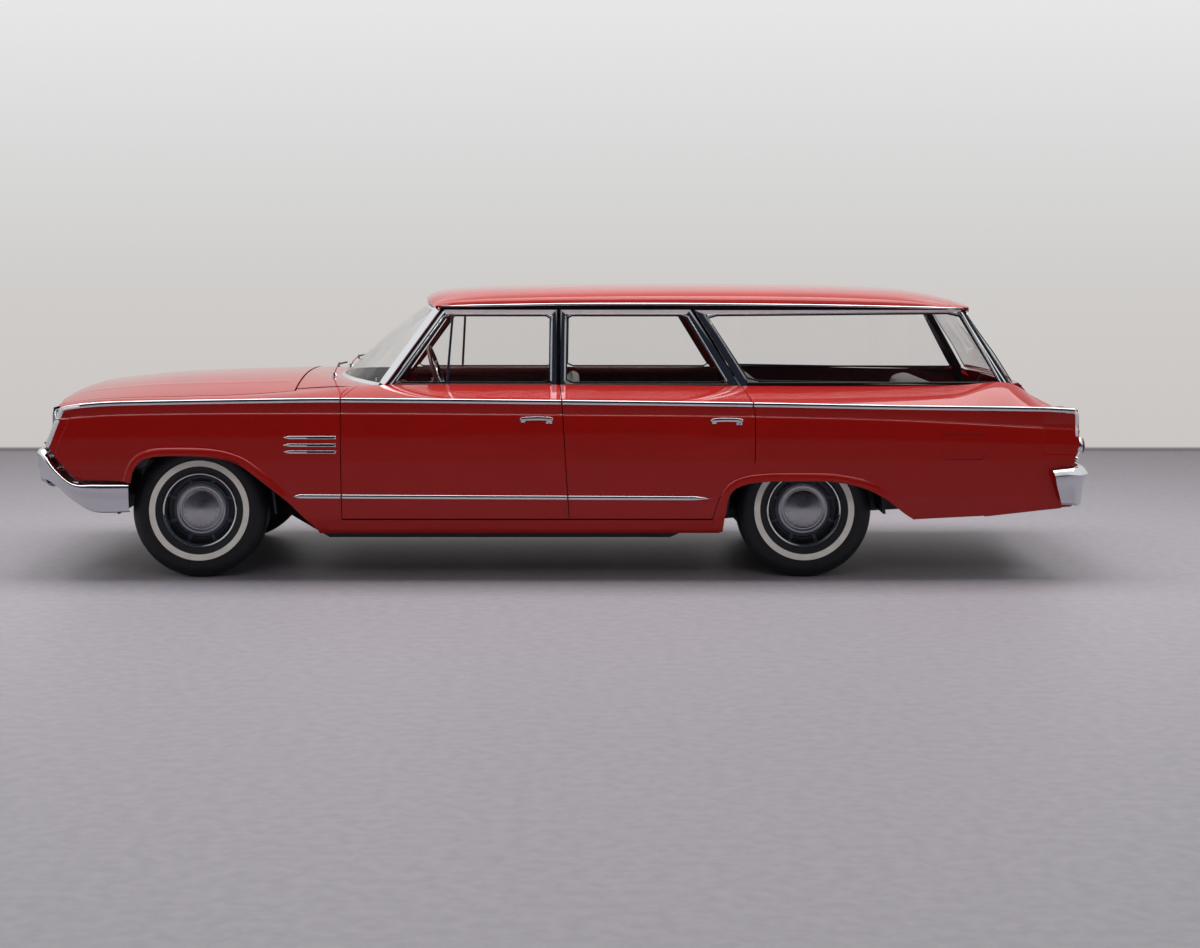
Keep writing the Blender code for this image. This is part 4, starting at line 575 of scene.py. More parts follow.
def backdrop_cloth():
    """Pale wall that glows in its own colour at a strength of 1, with painted shade: greyer towards
    the floor, and dark in a thin band at its foot.
    """
    made, tree, _, place = material("painted_backdrop", Roughness=0.9)
    split = node(tree, "ShaderNodeSeparateXYZ", [("Vector", place)])
    rise = node(tree, "ShaderNodeMapRange", [("Value", split.outputs["Z"])], **{"From Max": 4.2})
    tint = node(tree, "ShaderNodeValToRGB", [("Fac", rise.outputs["Result"])])
    # Painted shade: the grey deepens towards the floor, and the lowest 2 cm, where the wall meets
    # the floor, are dark
    painted_shade_stops = (
        (0.0, "#6E6A6D"), (0.004, "#7E7A7C"), (0.006, "#CBC6C3"), (0.3, "#CFCCCA"),
        (0.62, "#DADBDA"), (1.0, "#ECEDEC"),
    )
    for place_at, colour in painted_shade_stops[1:-1]:
        tint.color_ramp.elements.new(place_at).color = linear(colour)
    tint.color_ramp.elements[0].color = linear(painted_shade_stops[0][1])
    tint.color_ramp.elements[-1].color = linear(painted_shade_stops[-1][1])
    glow = node(tree, "ShaderNodeEmission", [("Color", tint.outputs["Color"])], Strength=1.0)
    dull = node(tree, "ShaderNodeEmission", [("Color", tint.outputs["Color"])], Strength=0.45)
    face = node(tree, "ShaderNodeMixShader", [("Fac", seen_rays(tree))])
    tree.links.new(dull.outputs["Emission"], face.inputs[1])
    tree.links.new(glow.outputs["Emission"], face.inputs[2])
    # Its back lets everything through, so that it hides nothing from behind.
    side = node(tree, "ShaderNodeNewGeometry")
    clear = node(tree, "ShaderNodeBsdfTransparent")
    both = node(tree, "ShaderNodeMixShader", [("Fac", side.outputs["Backfacing"])])
    tree.links.new(face.outputs["Shader"], both.inputs[1])
    tree.links.new(clear.outputs["BSDF"], both.inputs[2])
    tree.links.new(both.outputs["Shader"], tree.nodes["Material Output"].inputs["Surface"])
    return made


def studio():
    """A pale floor and backdrop, and a sky that is bright above and dark behind the camera."""
    floor = mottled("sealed_concrete", "#98929B", "#A29CA3", 0.50, 18.0, 0.0)
    staged("floor", (80, 80), (0, 0, 0), 0.0, floor)
    staged("backdrop", (80, 14), (0, BACKDROP_Y, 7.0), math.radians(90), backdrop_cloth())

    world = bpy.data.worlds.new("studio")
    world.use_nodes = True
    bpy.context.scene.world = world
    tree = world.node_tree
    fill = node(tree, "ShaderNodeBackground", Color=linear("#E8EAEC"), Strength=0.30)
    wall = node(tree, "ShaderNodeBackground", Strength=1.0)
    # The studio is unlit behind the camera, and bright overhead and to both sides.
    sight = node(tree, "ShaderNodeTexCoord")
    split = node(tree, "ShaderNodeSeparateXYZ", [("Vector", sight.outputs["Generated"])])
    high = node(
        tree, "ShaderNodeMath", [(0, split.outputs["Z"]), (1, split.outputs["Y"])], operation="ADD",
    )
    wide = node(tree, "ShaderNodeMath", [(0, split.outputs["X"])], operation="ABSOLUTE")
    both = node(
        tree, "ShaderNodeMath", [(0, high.outputs["Value"]), (1, wide.outputs["Value"])],
        operation="ADD",
    )
    lift = node(
        tree, "ShaderNodeMapRange", [("Value", both.outputs["Value"])],
        **{"From Min": 0.20, "From Max": 0.72},
    )
    tint = node(tree, "ShaderNodeValToRGB", [("Fac", lift.outputs["Result"])])
    tint.color_ramp.elements[0].color = linear("#23262F")
    tint.color_ramp.elements[1].color = linear("#F2F3F4")
    path = node(tree, "ShaderNodeLightPath")
    plain = node(
        tree, "ShaderNodeMix", [("Factor", path.outputs["Is Camera Ray"])], data_type="RGBA",
    )
    plain.inputs["B"].default_value = linear("#D8D8D8")
    tree.links.new(tint.outputs["Color"], plain.inputs["A"])
    tree.links.new(plain.outputs["Result"], wall.inputs["Color"])
    mix = node(tree, "ShaderNodeMixShader", [("Fac", seen_rays(tree))])
    tree.links.new(fill.outputs["Background"], mix.inputs[1])
    tree.links.new(wall.outputs["Background"], mix.inputs[2])
    tree.links.new(mix.outputs["Shader"], tree.nodes["World Output"].inputs["Surface"])

    # Ceiling softboxes: name, place, size, watts
    for name, place, size, watts in (
        ("ceiling", (0.0, 0.0, 6.0), (10.0, 4.0), 560.0),
        ("front_fill", (-1.0, -9.0, 6.0), (8.0, 2.0), 110.0),
    ):
        light = bpy.data.lights.new(name, "AREA")
        light.shape = "RECTANGLE"
        light.size, light.size_y = size
        light.energy = watts
        lamp = bpy.data.objects.new(name, light)
        lamp.location = place
        lamp.visible_glossy = name == "ceiling"
        aim = Vector((0.0, 0.0, 0.6)) - Vector(place)
        lamp.rotation_euler = aim.to_track_quat("-Z", "Y").to_euler()
        bpy.context.scene.collection.objects.link(lamp)


studio()


# Making pieces
HANDS = {"left": -1, "right": 1}
SHARP_ANGLE = math.radians(38)
# Sections of a strip: across, outward
HALF_ROUND = (
    (-1.0, -0.3), (-1.0, 0.20), (-0.88, 0.58), (-0.55, 0.90), (0.0, 1.0), (0.55, 0.90),
    (0.88, 0.58), (1.0, 0.20), (1.0, -0.3),
)
FLAT_BAND = (
    (-1.0, -0.5), (-1.0, 0.60), (-0.90, 1.0), (-0.45, 1.0), (0.0, 1.0), (0.45, 1.0), (0.90, 1.0),
    (1.0, 0.60), (1.0, -0.5),
)


def piece(name, bm, finish, body="body", replaces=()):
    """Turns a bmesh, kept inside the solids' own box, into a piece that rides on a body."""
    for vert in bm.verts:
        vert.co.x = min(max(vert.co.x, -LONGEST), LONGEST)
        vert.co.y = min(max(vert.co.y, -WIDEST), WIDEST)
        vert.co.z = min(vert.co.z, HIGHEST)
    for face in bm.faces:
        face.smooth = True
    for edge in bm.edges:
        if edge.is_manifold and edge.calc_face_angle(0.0) > SHARP_ANGLE:
            edge.smooth = False
    mesh = bpy.data.meshes.new(name)
    bm.to_mesh(mesh)
    bm.free()
    mesh.materials.append(finish)
    made = bpy.data.objects.new(name, mesh)
    bpy.context.scene.collection.objects.link(made)
    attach(made, body)
    if replaces:
        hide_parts(*replaces)
    return made


def shaped(name, finish, *steps, body="body", replaces=()):
    """A piece made by steps of (function, what it gets after the mesh, and named settings)."""
    bm = bmesh.new()
    for make, *given in steps:
        named = given.pop() if isinstance(given[-1], dict) else {}
        make(bm, *given, **named)
    return piece(name, bm, finish, body, replaces)


def pour(part, bm):
    """Adds one mesh to another and frees it."""
    lump = bpy.data.meshes.new("part")
    part.to_mesh(lump)
    part.free()
    bm.from_mesh(lump)
    bpy.data.meshes.remove(lump)


def face_out(bm, side):
    """Turns a sheet's faces to the side of the car that side names."""
    bm.normal_update()
    if sum(f.normal.y * side for f in bm.faces) < 0:
        bmesh.ops.reverse_faces(bm, faces=bm.faces)


def grid(bm, across, along, place):
    """A grid whose point (i, j) of across by along squares goes to place(i, j)."""
    made = bmesh.ops.create_grid(bm, x_segments=across, y_segments=along, size=0.5)["verts"]
    for v in made:
        v.co = place(round((v.co.x + 0.5) * across), round((v.co.y + 0.5) * along))
    return made


def shell(bm, verts, thickness, out=0.0):
    """Gives a sheet a wall: its outside moves out by that much, and thickness goes inwards."""
    bm.normal_update()
    faces = list({f for v in verts for f in v.link_faces})
    edges = list({e for f in faces for e in f.edges})
    for v in verts:
        v.co += v.normal * out
    inner = bmesh.ops.duplicate(bm, geom=verts + faces + edges)
    back = inner["vert_map"]
    for v in verts:
        back[v].co = v.co - v.normal * thickness
    copies = [g for g in inner["geom"] if isinstance(g, bmesh.types.BMFace)]
    bmesh.ops.reverse_faces(bm, faces=copies)
    bmesh.ops.bridge_loops(bm, edges=[e for e in bm.edges if e.is_boundary])


def sheet_of(
    name, across, along, place, finish, body="body", out=SKIN_OUT, wall=SKIN_THICKNESS, flip=False,
):
    """A thin panel over a grid of points, with its outside on the side its normals face."""
    bm = bmesh.new()
    verts = grid(bm, across, along, place)
    if flip:
        bmesh.ops.reverse_faces(bm, faces=bm.faces)
    shell(bm, verts, wall, out)
    return piece(name, bm, finish, body)


def swept(bm, rings, loop=False):
    """Skins rings of points with a rolled-up grid, and closes its ends."""
    around, along = len(rings[0]), len(rings) - (not loop)
    verts = grid(bm, around, along, lambda i, j: rings[j % len(rings)][i % around])
    bmesh.ops.remove_doubles(bm, verts=verts, dist=1e-6)
    ends = [e for e in bm.edges if e.is_boundary]
    if ends:
        bmesh.ops.holes_fill(bm, edges=ends, sides=0)
    bmesh.ops.recalc_face_normals(bm, faces=bm.faces)


def bead(bm, path, out, half, proud, tips=(1.0, 1.0), section=HALF_ROUND, loop=False):
    """Sweeps a strip along a path. out is its outward direction, or one for each point."""
    rings, last = [], len(path) - 1
    outs = out if isinstance(out, list) else [out] * len(path)
    for k, point in enumerate(path):
        before = path[k - 1] if k or loop else point
        after = path[(k + 1) % len(path)] if k < last or loop else point
        along = (Vector(after) - Vector(before)).normalized()
        outward = Vector(outs[k]).normalized()
        across = outward.cross(along).normalized()
        share = min(1.0, tips[0] + 8 * k / last, tips[1] + 8 * (last - k) / last)
        rings.append([
            Vector(point) + across * half * share * u + outward * proud * v for u, v in section
        ])
    swept(bm, rings, loop)


def turned(bm, profile, centre, steps, side=1, closed=False):
    """Spins a profile of (radius, distance outboard) round a wheel's axle at centre."""
    points = [bm.verts.new((centre[0] + r, centre[1] + side * d, centre[2])) for r, d in profile]
    lines = [bm.edges.new(pair) for pair in zip(points, points[1:])]
    if closed:
        lines.append(bm.edges.new((points[-1], points[0])))
    bmesh.ops.spin(
        bm, geom=points + lines, cent=centre, axis=(0, 1, 0), angle=2 * math.pi, steps=steps,
        use_merge=True,
    )
    bmesh.ops.remove_doubles(bm, verts=bm.verts, dist=1e-6)
    bmesh.ops.recalc_face_normals(bm, faces=bm.faces)


def block(bm, low, high, edge=0.0, segments=2):
    """A box between two corners, with its edges rounded."""
    made = bmesh.ops.create_cube(bm, size=1.0)["verts"]
    low, high = Vector(low), Vector(high)
    low, high = (Vector([f(low[k], high[k]) for k in range(3)]) for f in (min, max))
    for v in made:
        v.co = Vector([low[k] + (high[k] - low[k]) * (v.co[k] + 0.5) for k in range(3)])
    if edge:
        edges = list({e for v in made for e in v.link_edges})
        bmesh.ops.bevel(
            bm, geom=edges, offset=edge, segments=segments, profile=0.5, affect="EDGES",
            material=-1,
        )


def knob(bm, place, axis, profile, steps=24):
    """Spins a profile of (radius, distance along the axis) about an axis from a place."""
    turn = Vector(axis).to_track_quat("Z", "Y").to_matrix()
    spot = Vector(place)
    points = [bm.verts.new(spot + turn @ Vector((r, 0, d))) for r, d in profile]
    lines = [bm.edges.new(pair) for pair in zip(points, points[1:])]
    bmesh.ops.spin(
        bm, geom=points + lines, cent=spot, axis=turn @ Vector((0, 0, 1)), angle=2 * math.pi,
        steps=steps, use_merge=True,
    )
    bmesh.ops.remove_doubles(bm, verts=bm.verts, dist=1e-6)
    ends = [e for e in bm.edges if e.is_boundary]
    if ends:
        bmesh.ops.holes_fill(bm, edges=ends, sides=0)
    bmesh.ops.recalc_face_normals(bm, faces=bm.faces)


def bar(bm, path, radius, sides=10, loop=False):
    """A round rod along a path."""
    ring = [
        (math.cos(2 * math.pi * k / sides), math.sin(2 * math.pi * k / sides))
        for k in range(sides)
    ]
    rings, last = [], len(path) - 1
    for k, point in enumerate(path):
        before = path[k - 1] if k or loop else point
        after = path[(k + 1) % len(path)] if k < last or loop else point
        along = (Vector(after) - Vector(before)).normalized()
        flat = Vector((0, 0, 1)) if abs(along.z) < 0.9 else Vector((1, 0, 0))
        a = along.cross(flat).normalized()
        b = along.cross(a)
        rings.append([Vector(point) + (a * u + b * v) * radius for u, v in ring])
    swept(bm, rings, loop)


def cut_away(made, outline, side):
    """Cuts a prism with an (x, z) outline right through a panel of one side of the body."""
    bm = bmesh.new()
    face = bm.faces.new([bm.verts.new((x, side * 0.5, z)) for x, z in outline])
    grown = bmesh.ops.extrude_face_region(bm, geom=[face])["geom"]
    far = [g for g in grown if isinstance(g, bmesh.types.BMVert)]
    bmesh.ops.translate(bm, vec=Vector((0, side * 0.7, 0)), verts=far)
    bmesh.ops.recalc_face_normals(bm, faces=bm.faces)
    mesh = bpy.data.meshes.new("cutter")
    bm.to_mesh(mesh)
    bm.free()
    cutter = bpy.data.objects.new("cutter", mesh)
    bpy.context.scene.collection.objects.link(cutter)
    step = made.modifiers.new("cut", "BOOLEAN")
    step.object, step.operation, step.solver = cutter, "DIFFERENCE", "EXACT"
    graph = bpy.context.evaluated_depsgraph_get()
    whole = bpy.data.meshes.new_from_object(made.evaluated_get(graph))
    made.modifiers.clear()
    old, made.data = made.data, whole
    bpy.data.meshes.remove(old)
    bpy.data.objects.remove(cutter)
    return made


def smooth_line(points, per=6):
    """More points along a line, on the smooth curve through them."""
    table = [(k, *p) for k, p in enumerate(points)]
    columns = range(1, len(points[0]) + 1)
    count = (len(points) - 1) * per
    return [tuple(curve(table, k / per, c) for c in columns) for k in range(count + 1)]


def smooth_points(points, per=3):
    return [Vector(p) for p in smooth_line([tuple(p) for p in points], per)]


def circle(centre, across, up, count):
    """Points of a ring about a centre, from its two half axes."""
    turns = (2 * math.pi * k / count for k in range(count))
    return [centre + across * math.cos(t) + up * math.sin(t) for t in turns]


def upright_circle(centre, radius, count):
    return circle(centre, Vector((0, radius, 0)), Vector((0, 0, radius)), count)


def between(a, b, count):
    """Points from a to b, both kept."""
    return [Vector(a).lerp(Vector(b), k / count) for k in range(count + 1)]


def ramp(value):
    """0 below 0 and 1 above 1, eased between."""
    t = min(max(value, 0.0), 1.0)
    return t * t * (3 - 2 * t)


def distance(x, z, line):
    """Distance from a point to a line of (x, z) points."""
    best = 9.0
    for (ax, az), (bx, bz) in zip(line, line[1:]):
        dx, dz = bx - ax, bz - az
        t = min(max(((x - ax) * dx + (z - az) * dz) / (dx * dx + dz * dz), 0.0), 1.0)
        best = min(best, math.hypot(x - ax - t * dx, z - az - t * dz))
    return best


def side_level(x, z):
    """Level of a height on the side, with the feature line always at its own level."""
    feature = curve(FEATURE_Z, x)
    if z <= FLAT_LEVEL:
        return z
    if z <= feature:
        return FLAT_LEVEL + (z - FLAT_LEVEL) * (FEATURE_LEVEL - FLAT_LEVEL) / (feature - FLAT_LEVEL)
    return FEATURE_LEVEL + z - feature


def on_side(x, z, side, proud=0.0):
    """Point on the painted side of the body, kept within the car's width."""
    y = min(side_y(x, side_level(x, z)) + flare(x, z) + SKIN_OUT + proud, WIDEST)
    return Vector((x, side * y, z))


# Body panels
FRONT_LIP = smooth_line(FRONT_ARCH[:11])
REAR_LIP = smooth_line(REAR_ARCH[1:])
LIP_WIDTH, FRONT_RISE, REAR_RISE = 0.036, 0.011, 0.008
PANEL_DROP = 0.007


def flare(x, z):
    """How far the side stands out at a wheel arch's rolled lip, and in at the nose and tail."""
    if x < -1.0:
        fade = ramp((-1.22 - x) / 0.35)
        out = FRONT_RISE * (1 - ramp(distance(x, z, FRONT_LIP) / LIP_WIDTH)) * fade
        # The nose stays low outside the raised panel, whose edge runs round it.
        lead = x - straight(NOSE_X, z) - 0.055
        edge = min(lead, 9.0 if x > -2.16 else z - 0.548)
        edge = min(edge, 0.06 - math.hypot(max(0.06 - lead, 0), max(0.06 - (z - 0.548), 0)))
        low = (1 - ramp(edge / 0.014)) * ramp((-2.10 - x) / 0.08) * ramp((0.85 - z) / 0.03)
        return out - PANEL_DROP * low
    if x > 0.7:
        fade = ramp((1.72 - x) / 0.25)
        out = REAR_RISE * (1 - ramp(distance(x, z, REAR_LIP) / LIP_WIDTH)) * fade
        high = ramp((z - 0.632) / 0.012) * ramp((0.79 - z) / 0.03)
        return out - 0.009 * ramp((x - 2.415) / 0.012) * high
    return 0.0


def levels_between(low, high, step):
    count = max(round((high - low) / step), 1)
    return [low + (high - low) * k / count for k in range(count)]


SHOULDER_ROWS = 10


def side_skin(name, body, front, rear, low_z, columns, side):
    """The painted outside of a body panel, from its lower edge over the crease to the sill."""
    levels = levels_between(low_z, 0.42, 0.014) + levels_between(0.42, 0.66, 0.008)
    levels += levels_between(0.66, 0.80, 0.014) + levels_between(0.80, 0.826, 0.0087)
    levels += [0.826, 0.829, 0.832, 0.835, 0.838, 0.845, 0.860]
    rows = len(levels) + SHOULDER_ROWS

    def place(i, j):
        s = i / columns
        if j < len(levels):
            guess = side_z(front("side", levels[j]), levels[j])
            a, b = front("side", guess), rear("side", guess)
            x = a + (b - a) * s
            z = side_z(x, levels[j])
            y = side_y(x, levels[j]) + flare(x, z)
        else:
            share = (j - len(levels)) / SHOULDER_ROWS
            a, b = front("shoulder", share), rear("shoulder", share)
            x = a + (b - a) * s
            y, z = shoulder(x, share)
        return Vector((x, side * min(y, WIDEST - SKIN_OUT), z))

    return sheet_of(name, columns, rows, place, ENAMEL, body, flip=side > 0)


def cut_edge(name, side):
    return lambda kind, value: cut_x(name, kind, value, side)


def nose_edge(kind, value):
    return straight(NOSE_X, value) if kind == "side" else straight(NOSE_X, 0.905) - 0.020 * value


def tail_edge(kind, value):
    return straight(TAIL_X, value) if kind == "side" else 2.592 - 0.010 * value


# Skins of one side: name, body, front edge, rear edge, lowest z, columns
SIDE_SKINS = (
    ("front_fender_skin", "body", nose_edge, cut_edge("fender", -1), ROCKER_Z, 200),
    ("front_door_skin", "front_door", cut_edge("fender", 1), cut_edge("b", -1), DOOR_BOTTOM_Z, 60),
    ("rear_door_skin", "rear_door", cut_edge("b", 1), cut_edge("c", -1), DOOR_BOTTOM_Z, 70),
    ("rear_quarter_skin", "body", cut_edge("c", 1), tail_edge, 0.240, 200),
)
BELOW = {
    "front_fender_skin": [
        (-3.0, 0.690), *NOSE_LOW, *smooth_line(FRONT_ARCH), (-1.187, 0.180), (-3.0, 0.1),
    ],
    "rear_quarter_skin": [
        (0.70, 0.1), (0.812, 0.1), *smooth_line(REAR_ARCH), *TAIL_LOW, (2.8, 0.1),
    ],
}


def body_sides():
    for hand, side in HANDS.items():
        for name, body, front, rear, low_z, columns in SIDE_SKINS:
            rider = body if body == "body" else f"{body}_{hand}"
            made = side_skin(f"{name}_{hand}", rider, front, rear, low_z, columns, side)
            if name in BELOW:
                cut_away(made, BELOW[name], side)
        # The rolled lips of the arches, and the hems of nose and tail
        for name, line in (
            ("front_arch_lip", smooth_line(FRONT_ARCH)), ("rear_arch_lip", REAR_LIP),
            ("nose_hem", smooth_line(NOSE_LOW, 3)), ("tail_hem", TAIL_LOW[:2]),
        ):
            path = [on_side(x, z, side, -0.0045) for x, z in line]
            shaped(f"{name}_{hand}", ENAMEL, (bar, path, 0.0045, {"sides": 10}))


# The rolled flare round an arch: distance from its edge, height over the side
ARCH_FLARE = (
    (0.0385, -0.0020), (0.0370, 0.0010), (0.0340, 0.0046), (0.0300, 0.0080), (0.0245, 0.0112),
    (0.0180, 0.0130), (0.0110, 0.0135), (0.0040, 0.0128), (-0.0010, 0.0110), (-0.0010, 0.0060),
)


def beside(line, j, away):
    """A point (x, z) at a distance from a line's point j, on the left of its way."""
    ahead, behind = line[min(j + 1, len(line) - 1)], line[max(j - 1, 0)]
    along = Vector((ahead[0] - behind[0], ahead[1] - behind[1])).normalized()
    return line[j][0] - along.y * away, line[j][1] + along.x * away


def arch_flares():
    """The flares whose upper faces catch the light over the wheels."""
    for hand, side in HANDS.items():
        for end, line in (("front", FRONT_LIP), ("rear", REAR_LIP)):
            def place(i, j):
                away, proud = ARCH_FLARE[i]
                x, z = beside(line, j, away)
                fade = ramp((-1.30 - x) / 0.30)
                if end == "rear":
                    fade = ramp((1.68 - x) / 0.25) * ramp((z - 0.34) / 0.12)
                y = side_y(x, side_level(x, z)) + SKIN_OUT + proud * fade - 0.0015 * (1 - fade)
                return Vector((x, side * min(y, WIDEST), z))

            bm = bmesh.new()
            grid(bm, len(ARCH_FLARE) - 1, len(line) - 1, place)
            face_out(bm, side)
            piece(f"{end}_arch_flare_{hand}", bm, ENAMEL)


def bumper_fillers():
    """Painted strips that close the gap between the fenders' hems and the front bumper."""
    line = smooth_line(NOSE_LOW[:4], 4)[2:]
    for hand, side in HANDS.items():
        def place(i, j):
            x, z = beside(line, j, 0.006 - 0.026 * i / 4)
            return Vector((x, side * (side_y(x, side_level(x, z)) - 0.016 - 0.004 * i), z))

        bm = bmesh.new()
        verts = grid(bm, 4, len(line) - 1, place)
        shell(bm, verts, 0.0015, 0.0)
        piece(f"bumper_filler_{hand}", bm, ENAMEL)


def hood_and_cowl():
    """The bonnet with its pressed crease and rolled front edge, and the cowl behind it."""
    across, along = 72, 90

    def place(i, j):
        side = 2 * j / across - 1
        s = max(i - 4, 0) / (along - 4)
        front = hood_front_x(side * 0.85)
        x = front * (1 - s) + HOOD_REAR_X * s
        y = side * (sill(x)[0] - HOOD_GAP)
        z = hood_z(x, y)
        ridge = 1 - ramp(abs(abs(y) - 0.60) / 0.030)
        z += 0.0035 * ridge * ramp((x + 2.50) / 0.15) * ramp((HOOD_REAR_X - x) / 0.10)
        if i < 4:
            turn = (4 - i) / 4
            x, z = x + 0.002 * turn * turn, z - 0.012 * turn
        return Vector((x, y, z))

    sheet_of("bonnet_skin", along, across, place, ENAMEL, "hood")

    def cowl_place(i, j):
        x, y, z = cowl_point((2 * j / 40 - 1) * 0.995, i / 16)
        return Vector((x, y, z))

    sheet_of("cowl_skin", 16, 40, cowl_place, ENAMEL)
    for hand, side in HANDS.items():
        def corner(i, j):
            x, y, z = cowl_point(side * 0.985, i / 16)
            reach, edge_z = sill(x)[:2]
            t = j / 3
            return Vector((x, y + (side * (reach + 0.004) - y) * t, z + (edge_z - z) * t - 0.0012))

        sheet_of(f"cowl_corner_{hand}", 16, 3, corner, ENAMEL, flip=side > 0)


def roof_ring(share):
    """A cross-section of the roof: its outer line from rail to rail, and the lining's back."""
    _, rail_y, rail_z, top = roof_frame(share)
    rough = [(part * rail_y, top - drop) for part, drop in ROOF_SECTION]
    rough.append((rail_y * 0.965, rail_z + (top - rail_z) * 0.35))
    rough += [(rail_y, rail_z), (rail_y, rail_z - RAIL_LIP * 0.8)]
    outer = smooth_line(rough[:-1], 4) + [rough[-1]]
    lip, middle = rail_z - RAIL_LIP, top - 0.024
    inner = [(rail_y * k / 12, middle + (lip - middle) * (k / 12) ** 2) for k in range(11)]
    inner.append((rail_y - RAIL_PROUD - 0.034, lip))
    outer_left, inner_left = ([(-y, z) for y, z in line[1:]] for line in (outer, inner))
    ring = outer_left[::-1] + outer + inner[::-1] + inner_left
    return [Vector((bowed_x(share, y), y, z)) for y, z in ring]


def roof_panel():
    """The whole roof in one pressing, with the headers over the two screens."""
    bm = bmesh.new()
    shares = [0.0, 0.006, 0.012, 0.02, 0.03, 0.045] + [0.06 + 0.9 * k / 60 for k in range(61)]
    shares += [0.97, 0.98, 0.99, 1.0]
    swept(bm, [roof_ring(share) for share in shares])
    for line, deep in ((screen_line(1.0), 0.034), (gate_glass_line(-1), -0.030)):
        rings = []
        for x, y, z in line[1:-1]:
            corners = ((0, 0), (deep, 0), (deep, 0.030), (0, 0.022))
            rings.append([Vector((x + dx, y, z + dz)) for dx, dz in corners])
        swept(bm, rings)
    piece("roof_pressing", bm, ENAMEL, replaces=("roof",))

    # Headlining under it, bowed between its listings
    def lining(i, j):
        share, side = 0.03 + 0.93 * i / 96, 2 * j / 30 - 1
        _, rail_y, rail_z, top = roof_frame(share)
        y = side * (rail_y - 0.075)
        sag = 0.004 * abs(math.sin(math.pi * i / 12))
        z = top - 0.028 - sag + (rail_z - 0.014 - top + 0.028) * side * side
        return Vector((bowed_x(share, y), y, z))

    sheet_of("headlining", 96, 30, lining, LINING, out=0.0, wall=-0.002)


def tailgate_skin():
    """Outer pressing of the gate, with a low swell below the glass."""
    face = smooth_line(GATE_FACE, 8)

    def place(i, j):
        x, z = face[j]
        u = 2 * i / 60 - 1
        swell = 0.004 * ramp((z - 0.80) / 0.02) * ramp((0.93 - z) / 0.02)
        return Vector((x - GATE_BOW * u * u + swell, u * GATE_HALF, z))

    sheet_of("tailgate_skin", 60, 32, place, ENAMEL, "tailgate")


body_sides()
arch_flares()
bumper_fillers()
hood_and_cowl()
roof_panel()
tailgate_skin()


# Bright trim of the sides
BELT_DROP, BELT_HALF = 0.0055, 0.0115
RUB_Z = ((-1.329, 0.425), (0.761, 0.415))


def panel_spans(side, low_x, high_x, z_at):
    """Bodies along one side with the part of a line from low_x to high_x that each carries."""
    hand = "left" if side < 0 else "right"
    near = {"fender": -1.09, "b": 0.0, "c": 0.9}
    edges = [-9.0, *(cut_x(name, "side", z_at(near[name])) for name in CUTS), 9.0]
    names = ("body", f"front_door_{hand}", f"rear_door_{hand}", "body")
    for body, a, b in zip(names, edges, edges[1:]):
        a, b = max(a + 0.004, low_x), min(b - 0.004, high_x)
        if b > a:
            yield body, a, b


